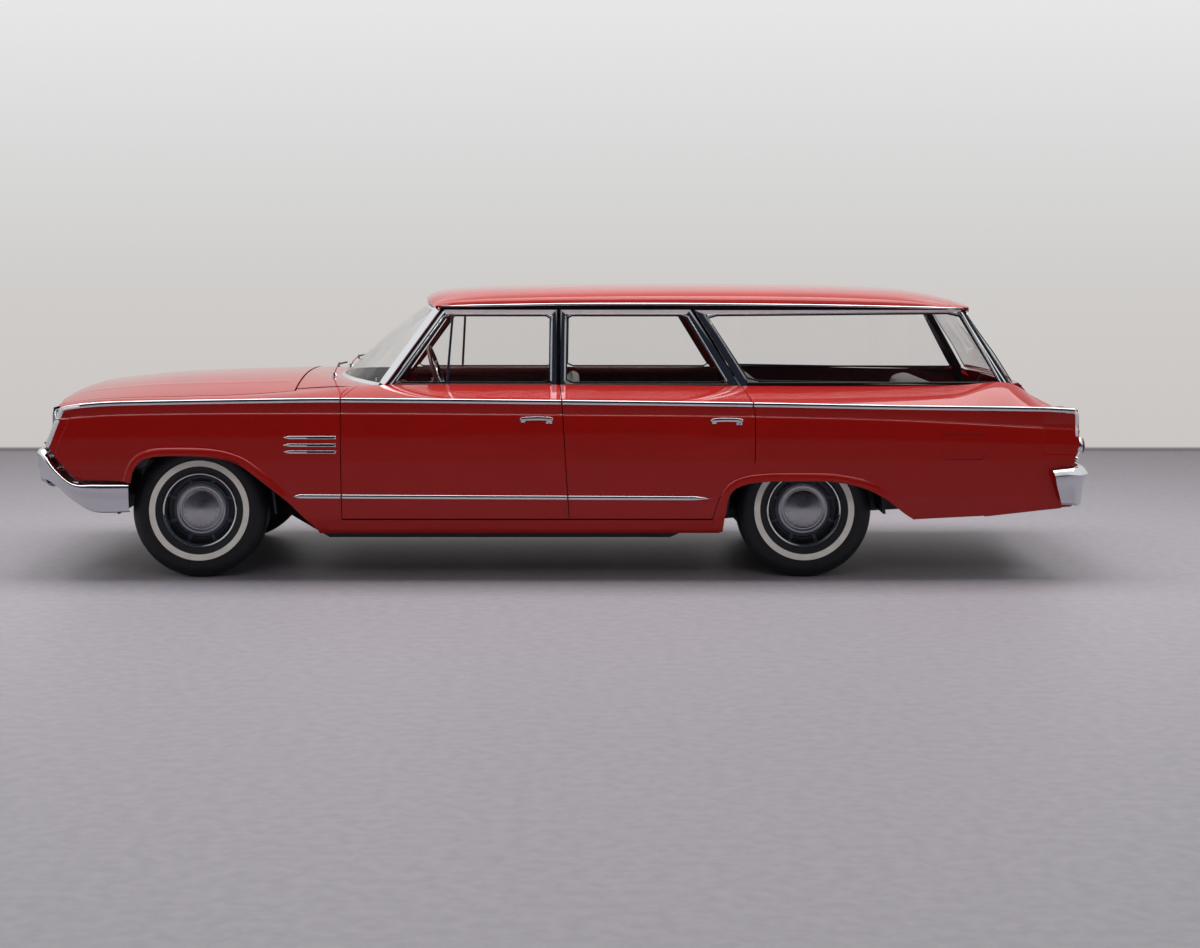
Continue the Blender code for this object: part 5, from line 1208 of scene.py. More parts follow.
def side_trim():
    for hand, side in HANDS.items():
        belt = panel_spans(side, -2.40, 2.575, lambda x: crease(x)[1])
        for count, (body, a, b) in enumerate(belt):
            xs = [a + (b - a) * k / 60 for k in range(61)]
            path = [on_side(x, crease(x)[1] - BELT_DROP, side, -0.0008) for x in xs]
            shaped(
                f"belt_moulding_{count}_{hand}", CHROME,
                (bead, path, (0, side, 0), BELT_HALF, 0.0060), body=body,
            )
        strip = panel_spans(side, RUB_Z[0][0], RUB_Z[1][0], lambda x: straight(RUB_Z, x))
        for count, (body, a, b) in enumerate(strip):
            xs = [a + (b - a) * k / 40 for k in range(41)]
            path = [on_side(x, straight(RUB_Z, x), side, -0.0008) for x in xs]
            tips = (0.05 if count == 0 else 1.0, 0.05 if b > 0.7 else 1.0)
            shaped(
                f"rubbing_strip_{count}_{hand}", CHROME,
                (bead, path, (0, side, 0), 0.0105, 0.0060, {"tips": tips}), body=body,
            )
        # Three spears on the fender: x of their ends, and z
        for count, z in enumerate((0.719, 0.681, 0.647)):
            path = [on_side(-1.379 + 0.264 * k / 24, z, side, -0.0012) for k in range(25)]
            shaped(
                f"fender_spear_{count}_{hand}", CHROME,
                (bead, path, (0, side, 0), 0.0080, 0.0036, {"tips": (0.05, 0.9)}),
            )
            path = [on_side(-1.262 + 0.140 * k / 12, z, side, 0.0) for k in range(13)]
            flat = {"tips": (0.5, 0.9), "section": FLAT_BAND}
            shaped(
                f"fender_spear_slot_{count}_{hand}", DIAL_BLACK,
                (bead, path, (0, side, 0), 0.0045, 0.0042, flat),
            )
        # Handles: x of the bar's ends, and the button below its rear end
        for door, x0, x1 in (("front_door", -0.199, -0.035), ("rear_door", 0.752, 0.911)):
            z, path = side_z(x1, 0.812), []
            for k in range(17):
                rise = 0.004 * math.sin(math.pi * k / 16)
                path.append(on_side(x0 + (x1 - x0) * k / 16, z + rise, side, 0.0005))
            feet = [
                (block, on_side(a, low, side, -0.002), on_side(b, z + 0.008, side, 0.004), 0.002)
                for a, b, low in (
                    (x0 + 0.004, x0 + 0.026, z - 0.016), (x1 - 0.034, x1 - 0.004, z - 0.022),
                )
            ]
            button = ((0.0, 0.007), (0.0055, 0.007), (0.0065, 0.0055), (0.0065, 0.0))
            place = on_side(x1 - 0.019, z - 0.016, side, -0.003)
            shaped(
                f"{door}_handle_{hand}", CHROME,
                (bead, path, (0, side, 0), 0.0095, 0.0042, {"tips": (0.45, 0.45)}), *feet,
                (knob, place, (0, side, 0), button), body=f"{door}_{hand}",
            )
    # Fuel door on the left rear quarter: its shut line
    x0, x1, z0, z1, r = 1.911, 2.115, 0.607, 0.731, 0.018
    corners = (
        (x1 - r, z1 - r, 0), (x0 + r, z1 - r, 90), (x0 + r, z0 + r, 180), (x1 - r, z0 + r, 270),
    )
    path = []
    for cx, cz, start in corners:
        for k in range(7):
            t = math.radians(start + 15 * k)
            path.append(on_side(cx + r * math.cos(t), cz + r * math.sin(t), -1, -0.0008))
    shaped(
        "fuel_door_shut_line", DIAL_BLACK,
        (bead, path, (0, -1, 0), 0.0016, 0.0011, {"loop": True, "section": FLAT_BAND}),
    )


def nose_trim():
    """The bright edges of the fenders' noses, which run over their tops to the belt strips."""
    for hand, side in HANDS.items():
        path, outs = [], []
        for k in range(15):
            z = 0.668 + (0.846 - 0.668) * k / 14
            x = straight(NOSE_X, z)
            path.append(Vector((x + 0.0115, side * (side_y(x, side_level(x, z)) - 0.0010), z)))
            outs.append((-0.35, side, 0.0))
        for x in (-2.498, -2.478, -2.455, -2.430, -2.400, -2.370, -2.340, -2.310):
            y, z = crease(x)
            path.append(Vector((x, side * (y - 0.004), z - 0.004)))
            outs.append((-0.35 * ramp((-2.40 - x) / 0.1), side, 0.9))
        # The moulding is white paint: a painted highlight in place of its chrome's reflection
        shaped(
            f"nose_moulding_{hand}", WHITE_HIGHLIGHT_PAINT,
            (bead, path, outs, 0.013, 0.006, {"tips": (0.8, 0.3)}),
        )
    path = [
        Vector((hood_front_x(y) - 0.001, y, hood_z(hood_front_x(y), y) - 0.010))
        for y in (0.84 * k / 40 for k in range(-40, 41))
    ]
    shaped("bonnet_lip_moulding", CHROME, (bead, path, (-1, 0, 0.25), 0.010, 0.010), body="hood")


def greenhouse_y(x, z, side, proud=0.0):
    return Vector((x, side * (glass_y(x, z) + proud), z))


def inwards(value, middle, step):
    return value + math.copysign(step, middle - value)


def round_window(corners):
    """Points (x, z) round a window, twelve to an edge."""
    pairs = zip(corners, corners[1:] + corners[:1])
    return [Vector(a).lerp(Vector(b), m / 12) for a, b in pairs for m in range(12)]


def window_wall(here, there, side, near, far):
    """Section of a window's wall, from one (x, z) to another and from near to far across."""
    corners = ((here, near), (here, far), (there, far), (there, near))
    return [greenhouse_y(x, z, side, proud) for (x, z), proud in corners]


# The cargo window's opening, with a slimmer rear post than the solid's
SLIM_CARGO = tuple(
    tuple(Vector(i).lerp(Vector(o), 0.5)) if k >= 2 else i
    for k, (i, o) in enumerate(zip(WINDOWS["cargo"][1], WINDOWS["cargo"][0]))
)


def cargo_panes():
    """The long side panes, set as far back as the slim rear post allows."""
    for hand, side in HANDS.items():
        def place(i, j):
            low = Vector(SLIM_CARGO[0]).lerp(Vector(SLIM_CARGO[3]), i / 20)
            high = Vector(SLIM_CARGO[1]).lerp(Vector(SLIM_CARGO[2]), i / 20)
            x, z = (low + (low - high) * 0.02).lerp(high + (high - low) * 0.02, j / 8)
            return greenhouse_y(x, z, side, -0.0120)

        bm = bmesh.new()
        verts = grid(bm, 20, 8, place)
        face_out(bm, side)
        shell(bm, verts, 0.0045)
        piece(f"cargo_pane_{hand}", bm, GLASS, replaces=(f"cargo_glass_{hand}",))


def window_trim():
    """Bright covers of the window frames, with a bead and a rubber round each opening."""
    for hand, side in HANDS.items():
        for window, body in (
            ("front", f"front_door_{hand}"), ("rear", f"rear_door_{hand}"), ("cargo", "body"),
        ):
            outer, inner = WINDOWS[window]
            if window == "cargo":
                inner = SLIM_CARGO
            cx, cz = (sum(p[axis] for p in inner) / 4 for axis in (0, 1))
            for k, member in enumerate(("front", "top", "rear")):
                # The bright cover outside, whose top member is white paint for a painted highlight,
                # and on a door a blue-black lining inside for painted shade
                for label, deep, way, finish in (
                    ("frame", 0.0, side, WHITE_HIGHLIGHT_PAINT if k == 1 else CHROME),
                    ("frame_lining", 0.0305, -side, DARK_REFLECTION_AND_SHADE_PAINT),
                )[:1 if window == "cargo" else 2]:
                    def place(i, j):
                        a = Vector(inner[k]).lerp(Vector(inner[k + 1]), i / 24)
                        b = Vector(outer[k]).lerp(Vector(outer[k + 1]), i / 24)
                        t = j / 4
                        x, z = a.lerp(b, t)
                        out = 0.0115 * t if k == 1 else 0.0020 * math.sin(math.pi * t)
                        return greenhouse_y(x, z, side, 0.0012 + out - deep)

                    bm = bmesh.new()
                    verts = grid(bm, 24, 4, place)
                    face_out(bm, way)
                    shell(bm, verts, 0.0010)
                    piece(f"{window}_{label}_{member}_{hand}", bm, finish, body)
            if window != "cargo":
                # The walls of the opening, blue-black for painted shade
                rings = []
                for x, z in round_window(inner):
                    xi, zi = inwards(x, cx, 0.0015), inwards(z, cz, 0.0015)
                    rings.append(window_wall((x, z), (xi, zi), side, 0.001, -0.0310))
                shaped(
                    f"{window}_opening_{hand}", DARK_REFLECTION_AND_SHADE_PAINT, (swept, rings, {"loop": True}),
                    body=body,
                )
            # The reveal round the glass, and its rubber just inside
            for name, shrink, depth, half, proud, finish in (
                ("reveal", 0.000, 0.0, 0.0038, 0.0048, CHROME),
                ("rubber", 0.007, -0.009, 0.0045, 0.0020, RUBBER),
            ):
                corners = [(inwards(x, cx, shrink), inwards(z, cz, shrink)) for x, z in inner]
                path, whole = [], name == "rubber"
                for k in range(4 if whole else 3):
                    a, b = Vector(corners[k]), Vector(corners[(k + 1) % 4])
                    path += [a.lerp(b, (m + 0.5) / 12) for m in range(12)]
                path = [greenhouse_y(x, z, side, depth) for x, z in path]
                shaped(
                    f"{window}_{name}_{hand}", finish,
                    (bead, path, (0, side, 0), half, proud, {"loop": whole}), body=body,
                )
        # Division bar of the vent window
        path = [
            greenhouse_y(-0.575 + 0.023 * k / 12, 0.972 + 0.350 * k / 12, side, -0.011)
            for k in range(13)
        ]
        shaped(
            f"vent_bar_{hand}", CHROME,
            (bead, path, (0, side, 0), 0.0065, 0.0100, {"section": FLAT_BAND}),
            body=f"front_door_{hand}",
        )
        # Drip rail over the doors, and the cover of the front post
        path = []
        for k in range(81):
            share = 0.01 + 0.98 * k / 80
            x, rail_y, rail_z, _ = roof_frame(share)
            path.append(Vector((x, side * (rail_y - 0.001), rail_z - 0.004)))
        shaped(
            f"drip_rail_{hand}", CHROME,
            (bead, path, (0, side, 0.1), 0.0060, 0.0055, {"tips": (0.5, 0.5)}),
        )
        path = []
        for k in range(25):
            z = 0.972 + (1.350 - 0.972) * k / 24
            x, y = post_corner("a", 0, z)
            path.append(Vector((x - 0.004, side * (y + 0.001), z)))
        flat = {"tips": (0.8, 1.0), "section": FLAT_BAND}
        shaped(
            f"front_post_cover_{hand}", CHROME,
            (bead, path, (-0.45, side * 0.9, 0.25), 0.020, 0.007, flat),
        )
        # Rubber wiper of the sill under the glass
        for window, body in (
            ("front", f"front_door_{hand}"), ("rear", f"rear_door_{hand}"), ("cargo", "body"),
        ):
            (ax, az), (bx, bz) = WINDOWS[window][1][0], WINDOWS[window][1][3]
            path = [
                greenhouse_y(ax + (bx - ax) * k / 24, az + (bz - az) * k / 24 - 0.004, side, 0.001)
                for k in range(25)
            ]
            shaped(
                f"{window}_sill_rubber_{hand}", RUBBER,
                (bead, path, (0, side, 0.2), 0.0050, 0.0050), body=body,
            )


def screen_trim():
    """Mouldings and rubbers of the windscreen and the rear glass, and the wipers."""
    low, high = screen_line(0.0), screen_line(1.0)
    edges = [screen_line(k / 12) for k in range(13)]
    loop = [Vector(p) for p in low] + [Vector(e[-1]) for e in edges[1:]]
    loop += [Vector(p) for p in high[::-1][1:]] + [Vector(e[0]) for e in edges[::-1][1:-1]]
    out = Vector((-0.62, 0.0, 0.78))
    for name, move, half, proud, finish in (
        ("screen_moulding", 0.005, 0.0150, 0.0070, CHROME),
        ("screen_rubber", -0.006, 0.009, 0.0030, RUBBER),
    ):
        middle = sum(loop, Vector()) / len(loop)
        path = [p + (p - middle).normalized() * move for p in loop]
        shaped(name, finish, (bead, path, out, half, proud, {"loop": True}))
    rows = [gate_glass_line(k) for k in range(4)]
    loop = [Vector(p) for p in rows[0]] + [Vector(r[-1]) for r in rows[1:]]
    loop += [Vector(p) for p in rows[-1][::-1][1:]] + [Vector(r[0]) for r in rows[-2:0:-1]]
    dense = []
    for a, b in zip(loop, loop[1:] + loop[:1]):
        dense += between(a, b, 3)[:-1]
    for name, half, proud, finish in (
        ("rear_glass_moulding", 0.009, 0.006, CHROME), ("rear_glass_rubber", 0.013, 0.0025, RUBBER),
    ):
        shaped(name, finish, (bead, dense, (0.85, 0.0, 0.5), half, proud, {"loop": True}))
    for hand, side in HANDS.items():
        pivot = Vector(cowl_point(side * 0.55, 0.62)) + Vector((0, 0, 0.004))
        tip = Vector(screen_line(0.16)[6 + (2 if side > 0 else 0)]) + Vector((-0.020, 0, 0.024))
        tip.y = pivot.y - 0.36
        elbow = pivot.lerp(tip, 0.25) + Vector((0, 0, 0.016))
        foot = ((0.0, 0.020), (0.010, 0.018), (0.013, 0.010), (0.016, 0.0))
        shaped(
            f"wiper_arm_{hand}", BRIGHT_TRIM, (knob, pivot, (-0.3, 0, 1), foot),
            (bar, [pivot + Vector((0, 0, 0.012)), elbow, tip], 0.0035),
        )
        ways = [k / 8 - 1 for k in range(17)]
        path = [tip + Vector((0.020 * u * u, 0.19 * u, -0.006)) for u in ways]
        shaped(f"wiper_blade_{hand}", RUBBER, (bar, path, 0.0045, {"sides": 6}))


side_trim()
nose_trim()
cargo_panes()
window_trim()
screen_trim()


# Wheels
# Tyre section from the bead to the shoulder: radius, distance outboard
SIDEWALL = (
    (0.1785, 0.0660), (0.1860, 0.0780), (0.1915, 0.0818), (0.1945, 0.0812), (0.1975, 0.0840),
    (0.2140, 0.0905), (0.2200, 0.0930), (0.2215, 0.0945), (0.2370, 0.0970), (0.2525, 0.0985),
    (0.2545, 0.0968), (0.2600, 0.0982), (0.2640, 0.0972), (0.2680, 0.0988), (0.2800, 0.0990),
    (0.2920, 0.0978), (0.3020, 0.0945), (0.3100, 0.0900), (0.3180, 0.0835), (0.3200, 0.0810),
    (0.3230, 0.0800), (0.3300, 0.0700), (0.3360, 0.0610), (0.3385, 0.0560),
)
# Tread ribs: distance outboard of each rib's edges
RIBS = ((0.056, 0.046), (0.0425, 0.027), (0.0235, 0.006), (0.0025, -0.0025))
GROOVE_RADIUS, TREAD_RADIUS = 0.3315, 0.3399
TYRE_STEPS, ZIGZAG, ZIGZAG_REACH = 180, 60, 0.0016
WALL_BAND = (
    (0.2215, 0.0930), (0.2222, 0.0954), (0.2370, 0.0980), (0.2518, 0.0994), (0.2525, 0.0970),
)
# The cap over the hub, then the brushed ring outside it, the rim and the bright trim ring
CAP = (
    (0.0, 0.0590), (0.014, 0.0584), (0.034, 0.0548), (0.062, 0.0490), (0.084, 0.0432),
    (0.0925, 0.0402), (0.0965, 0.0370), (0.0985, 0.0330), (0.0985, 0.0280), (0.0, 0.0280),
)
CAP_BEAD = (
    (0.0970, 0.0280), (0.0985, 0.0335), (0.1000, 0.0352), (0.1018, 0.0352), (0.1030, 0.0330),
    (0.1040, 0.0280),
)
CAP_RING = (
    (0.1025, 0.0180), (0.1030, 0.0315), (0.1060, 0.0340), (0.1150, 0.0358), (0.1220, 0.0350),
    (0.1260, 0.0320), (0.1275, 0.0280), (0.1275, 0.0180),
)
RIM_RING = (
    (0.1270, 0.0080), (0.1270, 0.0235), (0.1310, 0.0215), (0.1360, 0.0205), (0.1395, 0.0190),
    (0.1405, 0.0150), (0.1405, 0.0080),
)
# The disc behind is black paint, for the painted shade seen through the rim's slots
SLOT_SHADE_DISC = (
    (0.0, 0.0180), (0.127, 0.0180), (0.1405, 0.0090), (0.155, 0.0060), (0.1660, 0.0100),
    (0.1700, 0.0300), (0.1755, 0.0620), (0.1775, 0.0665), (0.1775, -0.0665), (0.1735, -0.0665),
    (0.1690, -0.0300), (0.1500, -0.0100), (0.0, -0.0100),
)
TRIM_RING = (
    (0.1670, 0.0110), (0.1665, 0.0165), (0.1700, 0.0240), (0.1722, 0.0400), (0.1745, 0.0560),
    (0.1780, 0.0680), (0.1820, 0.0735), (0.1860, 0.0745), (0.1870, 0.0775), (0.1840, 0.0790),
    (0.1790, 0.0765), (0.1765, 0.0700),
)
BRIDGES = 8


def tyre_profile():
    """Closed section of the tyre, with a groove between every two ribs."""
    half = list(SIDEWALL)
    for outer, inner in RIBS:
        half += [
            (TREAD_RADIUS - abs(outer) * 0.02, outer), (TREAD_RADIUS - abs(inner) * 0.02, inner),
        ]
        if inner > 0:
            half += [(GROOVE_RADIUS, inner - 0.0005), (GROOVE_RADIUS, inner - 0.0030)]
    half = half[:-1]
    return half + [(r, -d) for r, d in half[::-1]]


def wheel(end, hand, x, track):
    side = HANDS[hand]
    centre = (x, side * track / 2, HUB_Z)
    name, body = f"{end}_{hand}", f"{end}_wheel_{hand}"
    bm = bmesh.new()
    turned(bm, tyre_profile(), centre, TYRE_STEPS, side, closed=True)
    for v in bm.verts:
        reach = math.hypot(v.co.x - centre[0], v.co.z - centre[2])
        if reach > GROOVE_RADIUS - 0.001 and abs(v.co.y - centre[1]) < 0.050:
            turn = math.atan2(v.co.z - centre[2], v.co.x - centre[0]) / (2 * math.pi) * ZIGZAG
            v.co.y += ZIGZAG_REACH * (4 * abs(turn - math.floor(turn) - 0.5) - 1)
    piece(f"{name}_tyre", bm, RUBBER, body, replaces=(f"{end}_tyre_{hand}",))
    for label, profile, finish, closed, replaced in (
        ("white_band", WALL_BAND, WHITEWALL, True, ()),
        ("slot_shade_disc", SLOT_SHADE_DISC, DIAL_BLACK, False, (f"{end}_wheel_{hand}",)),
        ("rim_ring", RIM_RING, RIM_PAINT, True, ()),
        ("cap_ring", CAP_RING, COVER_STEEL, True, ()),
        ("cap_bead", CAP_BEAD, CHROME, True, ()),
        ("cap", CAP, COVER_STEEL, False, ()),
        ("trim_ring", TRIM_RING, CHROME, True, ()),
    ):
        shaped(
            f"{name}_{label}", finish, (turned, profile, centre, 96, side, closed), body=body,
            replaces=replaced,
        )
    # Bright bridges between the slots of the rim, and the dimples round the cap, drawn as small
    # raised dots of black paint for painted shade
    bm = bmesh.new()
    for k in range(BRIDGES):
        turn = Matrix.Rotation(math.radians(22.5 + 360 * k / BRIDGES), 4, "Y")
        part = bmesh.new()
        block(part, (0.1395, 0.0060, -0.0085), (0.1675, 0.0135, 0.0085), 0.003)
        knob(
            part, (0.1560, 0.0130, 0.0), (0, 1, 0),
            ((0.0, 0.0048), (0.003, 0.0042), (0.0048, 0.0018), (0.0052, 0.0)), 12,
        )
        for v in part.verts:
            spot = turn @ Vector((v.co.x, 0, v.co.z))
            v.co = Vector((centre[0] + spot.x, centre[1] + side * v.co.y, centre[2] + spot.z))
        if side < 0:
            bmesh.ops.reverse_faces(part, faces=part.faces)
        pour(part, bm)
    bmesh.ops.recalc_face_normals(bm, faces=bm.faces)
    piece(f"{name}_bridges", bm, RIM_PAINT, body)
    bm = bmesh.new()
    for k in range(18):
        t = 2 * math.pi * (k + 0.5) / 18
        spot = (
            centre[0] + 0.0820 * math.cos(t), centre[1] + side * 0.0432,
            centre[2] + 0.0820 * math.sin(t),
        )
        knob(bm, spot, (0, side, 0), ((0.0, 0.0012), (0.0022, 0.0008), (0.0028, 0.0)), 8)
    piece(f"{name}_painted_shade_dots", bm, DIAL_BLACK, body)


for hand in HANDS:
    wheel("front", hand, FRONT_AXLE_X, TRACK_FRONT)
    wheel("rear", hand, REAR_AXLE_X, TRACK_REAR)


# Bumpers
# Faces: share of the height, distance outward
BUMPER_FACES = {
    "front": (
        (0.0, -0.034), (0.03, -0.012), (0.10, -0.006), (0.34, -0.001), (0.40, 0.003),
        (0.70, 0.0065), (0.84, 0.0095), (0.92, 0.0070), (0.97, -0.002), (1.0, -0.020),
    ),
    "rear": (
        (0.0, -0.040), (0.05, -0.028), (0.10, -0.024), (0.50, -0.014), (0.72, 0.002), (0.78, 0.012),
        (0.83, 0.009), (0.96, -0.012), (1.0, -0.036),
    ),
}


def bumper(end, stations, bracket):
    """A pressed bar that wraps round the car's corners, with its brackets."""
    half = smooth_line(stations, 10)
    rows = [
        (x, -y, ox, -oy, low, high, k / len(half))
        for k, (x, y, ox, oy, low, high) in enumerate(half)
    ]
    rows += [(x, -y, ox, -oy, low, high, s) for x, y, ox, oy, low, high, s in rows[::-1]]
    face = smooth_line(BUMPER_FACES[end], 3)
    rings = []
    for x, y, ox, oy, low, high, s in rows:
        out = Vector((ox, oy, 0)).normalized()
        # The rear bar's ends are cut on a slant, further back at the foot.
        slant = 0.048 * ramp(1 - s / 0.28) if end == "rear" else 0.0
        ring = []
        for wall, points in ((0.0, face), (0.0035, face[::-1])):
            for share, proud in points:
                z = low + (high - low) * min(max(share, 0.0), 1.0)
                shift = slant * (1 - share)
                base = Vector((x + shift, y, z)) + out * (proud - wall)
                deep = -wall if share > 0.9 else (wall if share < 0.05 else 0)
                ring.append(base + Vector((0, 0, deep)))
        rings.append(ring)
    shaped(f"{end}_bumper_bar", BUMPER_PLATE, (swept, rings), replaces=(f"{end}_bumper",))
    bm = bmesh.new()
    a, b, y, z = bracket
    for side in (-1, 1):
        block(bm, (a, side * y - 0.03, z - 0.03), (b, side * y + 0.03, z + 0.03), 0.003)
    piece(f"{end}_bumper_irons", bm, BLACK_PAINT)


bumper("front", FRONT_BUMPER, (-2.628, -2.5203, 0.420, 0.470))
bumper("rear", REAR_BUMPER, (2.5003, 2.606, 0.500, 0.420))


# Upper body side: roof rail, four posts and the frame of the cargo window
SLIM_POST = (
    ((2.272, 0.745), (2.300, 0.740), (2.312, 0.716), (2.290, 0.716)),
    0.965, ((2.246, 0.746), (2.266, 0.745), (2.290, 0.716), (2.268, 0.716)),
    1.336, ((2.032, 0.640), (2.052, 0.639), (2.076, 0.612), (2.052, 0.612)),
)
RAIL_LOW_Z = 1.322


def upper_side(hand, side):
    bm = bmesh.new()
    rings = []
    for k in range(41):
        share = 0.012 + 0.948 * k / 40
        _, rail_y, rail_z, _ = roof_frame(share)
        y0, y1, z = rail_y - RAIL_PROUD - 0.034, rail_y - 0.092, rail_z - RAIL_LIP - 0.0003
        x0, x1 = bowed_x(share, y0), bowed_x(share, y1)
        corners = ((x0, y0, z), (x1, y1, z), (x1, y1, RAIL_LOW_Z), (x0, y0, RAIL_LOW_Z))
        rings.append([Vector((x, side * y, h)) for x, y, h in corners])
    swept(bm, rings)
    for name, (foot, low_z, low, high_z, high) in {**ROOF_POSTS, "d": SLIM_POST}.items():
        rings = [
            [Vector((x, side * y, z)) for x, y in row]
            for z, row in ((0.8603, foot), (low_z, low), (high_z, high))
        ]
        part = bmesh.new()
        swept(part, rings)
        sharp = [e for e in part.edges if abs(e.calc_face_angle(0.0)) > 0.7]
        bmesh.ops.bevel(
            part, geom=sharp, offset=0.004, segments=3, profile=0.5, affect="EDGES", material=-1,
        )
        pour(part, bm)
    outer, inner = WINDOWS["cargo"][0], SLIM_CARGO
    pairs = zip(round_window(outer), round_window(inner))
    rings = [window_wall(a, b, side, 0.0, -0.026) for a, b in pairs]
    swept(bm, rings, loop=True)
    # Rail, posts and cargo frame in blue-black paint: a painted dark reflection of their bright
    # steel, and painted shade in the openings
    piece(f"upper_side_{hand}", bm, DARK_REFLECTION_AND_SHADE_PAINT, replaces=(f"body_side_{hand}",))
    # The rear post's bright cover, with a dark rubber against the rear glass
    for name, corner, out, half, finish in (
        ("rear_post_cover", 1, (0.4, side, 0.2), 0.0075, CHROME),
        ("rear_post_rubber", 2, (0.8, side * 0.7, 0.2), 0.0060, RUBBER),
    ):
        path = []
        for k in range(25):
            t = k / 24
            (xa, ya), (xb, yb) = SLIM_POST[2][corner], SLIM_POST[4][corner]
            x, y = xa + (xb - xa) * t - 0.004, ya + (yb - ya) * t
            path.append(Vector((x, side * y, 0.975 + 0.362 * t)))
        shaped(f"{name}_{hand}", finish, (bead, path, out, half, 0.0050))


def lower_covers(hand, side):
    """The painted rocker, and the skin of the tail panel behind the lamp."""
    section = (
        (0.780, 0.3010), (0.800, 0.2320), (0.912, 0.2320), (0.930, 0.2385), (0.946, 0.2500),
        (0.958, 0.2760), (0.9675, 0.3035),
    )
    outline = smooth_line(section, 3)
    rings, front, rear = [], -1.1600, 0.7990
    for k in range(25):
        x = front + (rear - front) * (k / 24)
        rings.append([Vector((x, side * y, z)) for y, z in outline])
    shaped(f"rocker_panel_{hand}", ENAMEL, (swept, rings))

    def panel(i, j):
        z, inner_y = 0.470 + (0.838 - 0.470) * j / 16, 0.700
        outer_y = side_y(2.556, side_level(2.556, z)) - 0.006
        return Vector((2.5612, side * (inner_y + (outer_y - inner_y) * i / 12), z))

    # The dark inner quarter behind the rear wheel
    rings = []
    for x, z0, z1 in ((1.385, 0.300, 0.500), (1.735, 0.318, 0.480)):
        corners = ((0.618, z0), (0.622, z0), (0.622, z1), (0.618, z1))
        rings.append([Vector((x, side * y, z)) for y, z in corners])
    shaped(f"inner_quarter_{hand}", BLACK_PAINT, (swept, rings))
    sheet_of(f"tail_panel_{hand}", 12, 16, panel, ENAMEL, out=0.0, wall=0.0012, flip=side > 0)


for hand, side in HANDS.items():
    upper_side(hand, side)
    lower_covers(hand, side)


# Seats and trim
PLEAT, PLEAT_DEPTH = 0.058, 0.0065


def pad(name, start, end, thick, half, finish, replaced=(), lobes=3.0):
    """A bench pad from start to end in side view, pleated on its face, with rounded ends."""
    start, end = Vector((start[0], 0, start[1])), Vector((end[0], 0, end[1]))
    middle, reach = (start + end) / 2, (end - start) / 2
    face = Vector((0, 1, 0)).cross(reach).normalized()
    if face.z + abs(face.x) * 0.5 < 0:
        face = -face
    count = max(int(2 * half / 0.0075), 40)
    rings = []
    for k in range(count + 1):
        t = 2 * k / count - 1
        y = t * half
        full = max(max(1 - abs(t) ** 22, 0.0) ** 0.42, 0.05)
        groove = 1 - abs(math.sin(math.pi * y / PLEAT)) ** 0.45
        pleat = PLEAT_DEPTH * groove * ramp((1 - abs(t)) / 0.06)
        ring = []
        for m in range(56):
            a = 2 * math.pi * m / 56
            u = math.copysign(abs(math.cos(a)) ** (2 / lobes), math.cos(a))
            v = math.copysign(abs(math.sin(a)) ** (2 / lobes), math.sin(a))
            crown = 0.014 * (1 - u * u) * (v > 0)
            sink = pleat * ramp((0.86 - abs(u)) / 0.10) * ramp((v - 0.3) / 0.5)
            long_seam = 0.005 * math.exp(-((abs(u) - 0.86) / 0.03) ** 2) * (v > 0.3)
            depth = thick / 2 * v + crown - sink - long_seam
            spot = middle + reach * u * (1 - (1 - full) * 0.16)
            ring.append(spot + face * depth * (0.35 + 0.65 * full) + Vector((0, y, 0)))
        rings.append(ring)
    bm = bmesh.new()
    swept(bm, rings)
    made = piece(name, bm, finish, replaces=replaced)
    # Welt cord round both ends
    bm = bmesh.new()
    for k in (3, count - 3):
        bar(bm, rings[k], 0.0035, sides=6, loop=True)
    piece(f"{name}_welt", bm, RED_VINYL)


# Benches: name, cushion start, end, thickness, back start, end, thickness, half width, plinth
BENCHES = (
    (
        "front", (-0.590, 0.462), (-0.130, 0.438), 0.120, (-0.115, 0.470), (0.075, 0.960), 0.105,
        0.635, (-0.560, -0.060, 0.3033, 0.400),
    ),
    (
        "second", (0.420, 0.510), (0.850, 0.520), 0.105, (0.862, 0.590), (1.025, 0.965), 0.085,
        0.585, (0.560, 0.860, 0.4100, 0.480),
    ),
    (
        "third", (1.430, 0.700), (1.800, 0.690), 0.095, (1.960, 0.700), (1.900, 0.952), 0.150,
        0.555, (1.450, 1.880, 0.6035, 0.660),
    ),
)


def benches():
    for name, a, b, deep, c, d, thick, half, plinth in BENCHES:
        pad(f"{name}_seat_cushion", a, b, deep, half, SEAT_VINYL, (f"{name}_seat",))
        pad(f"{name}_seat_back", c, d, thick, half, SEAT_VINYL)
        x0, x1, z0, z1 = plinth
        bm = bmesh.new()
        for side in (-1, 1):
            block(bm, (x0, side * 0.19, z0), (x1, side * (half - 0.03), z1), 0.008)
        piece(f"{name}_seat_plinth", bm, RED_VINYL)


CARD_FACE = ((0.345, 0.868), (0.620, 0.800), (0.880, 0.760), (0.935, 0.745))


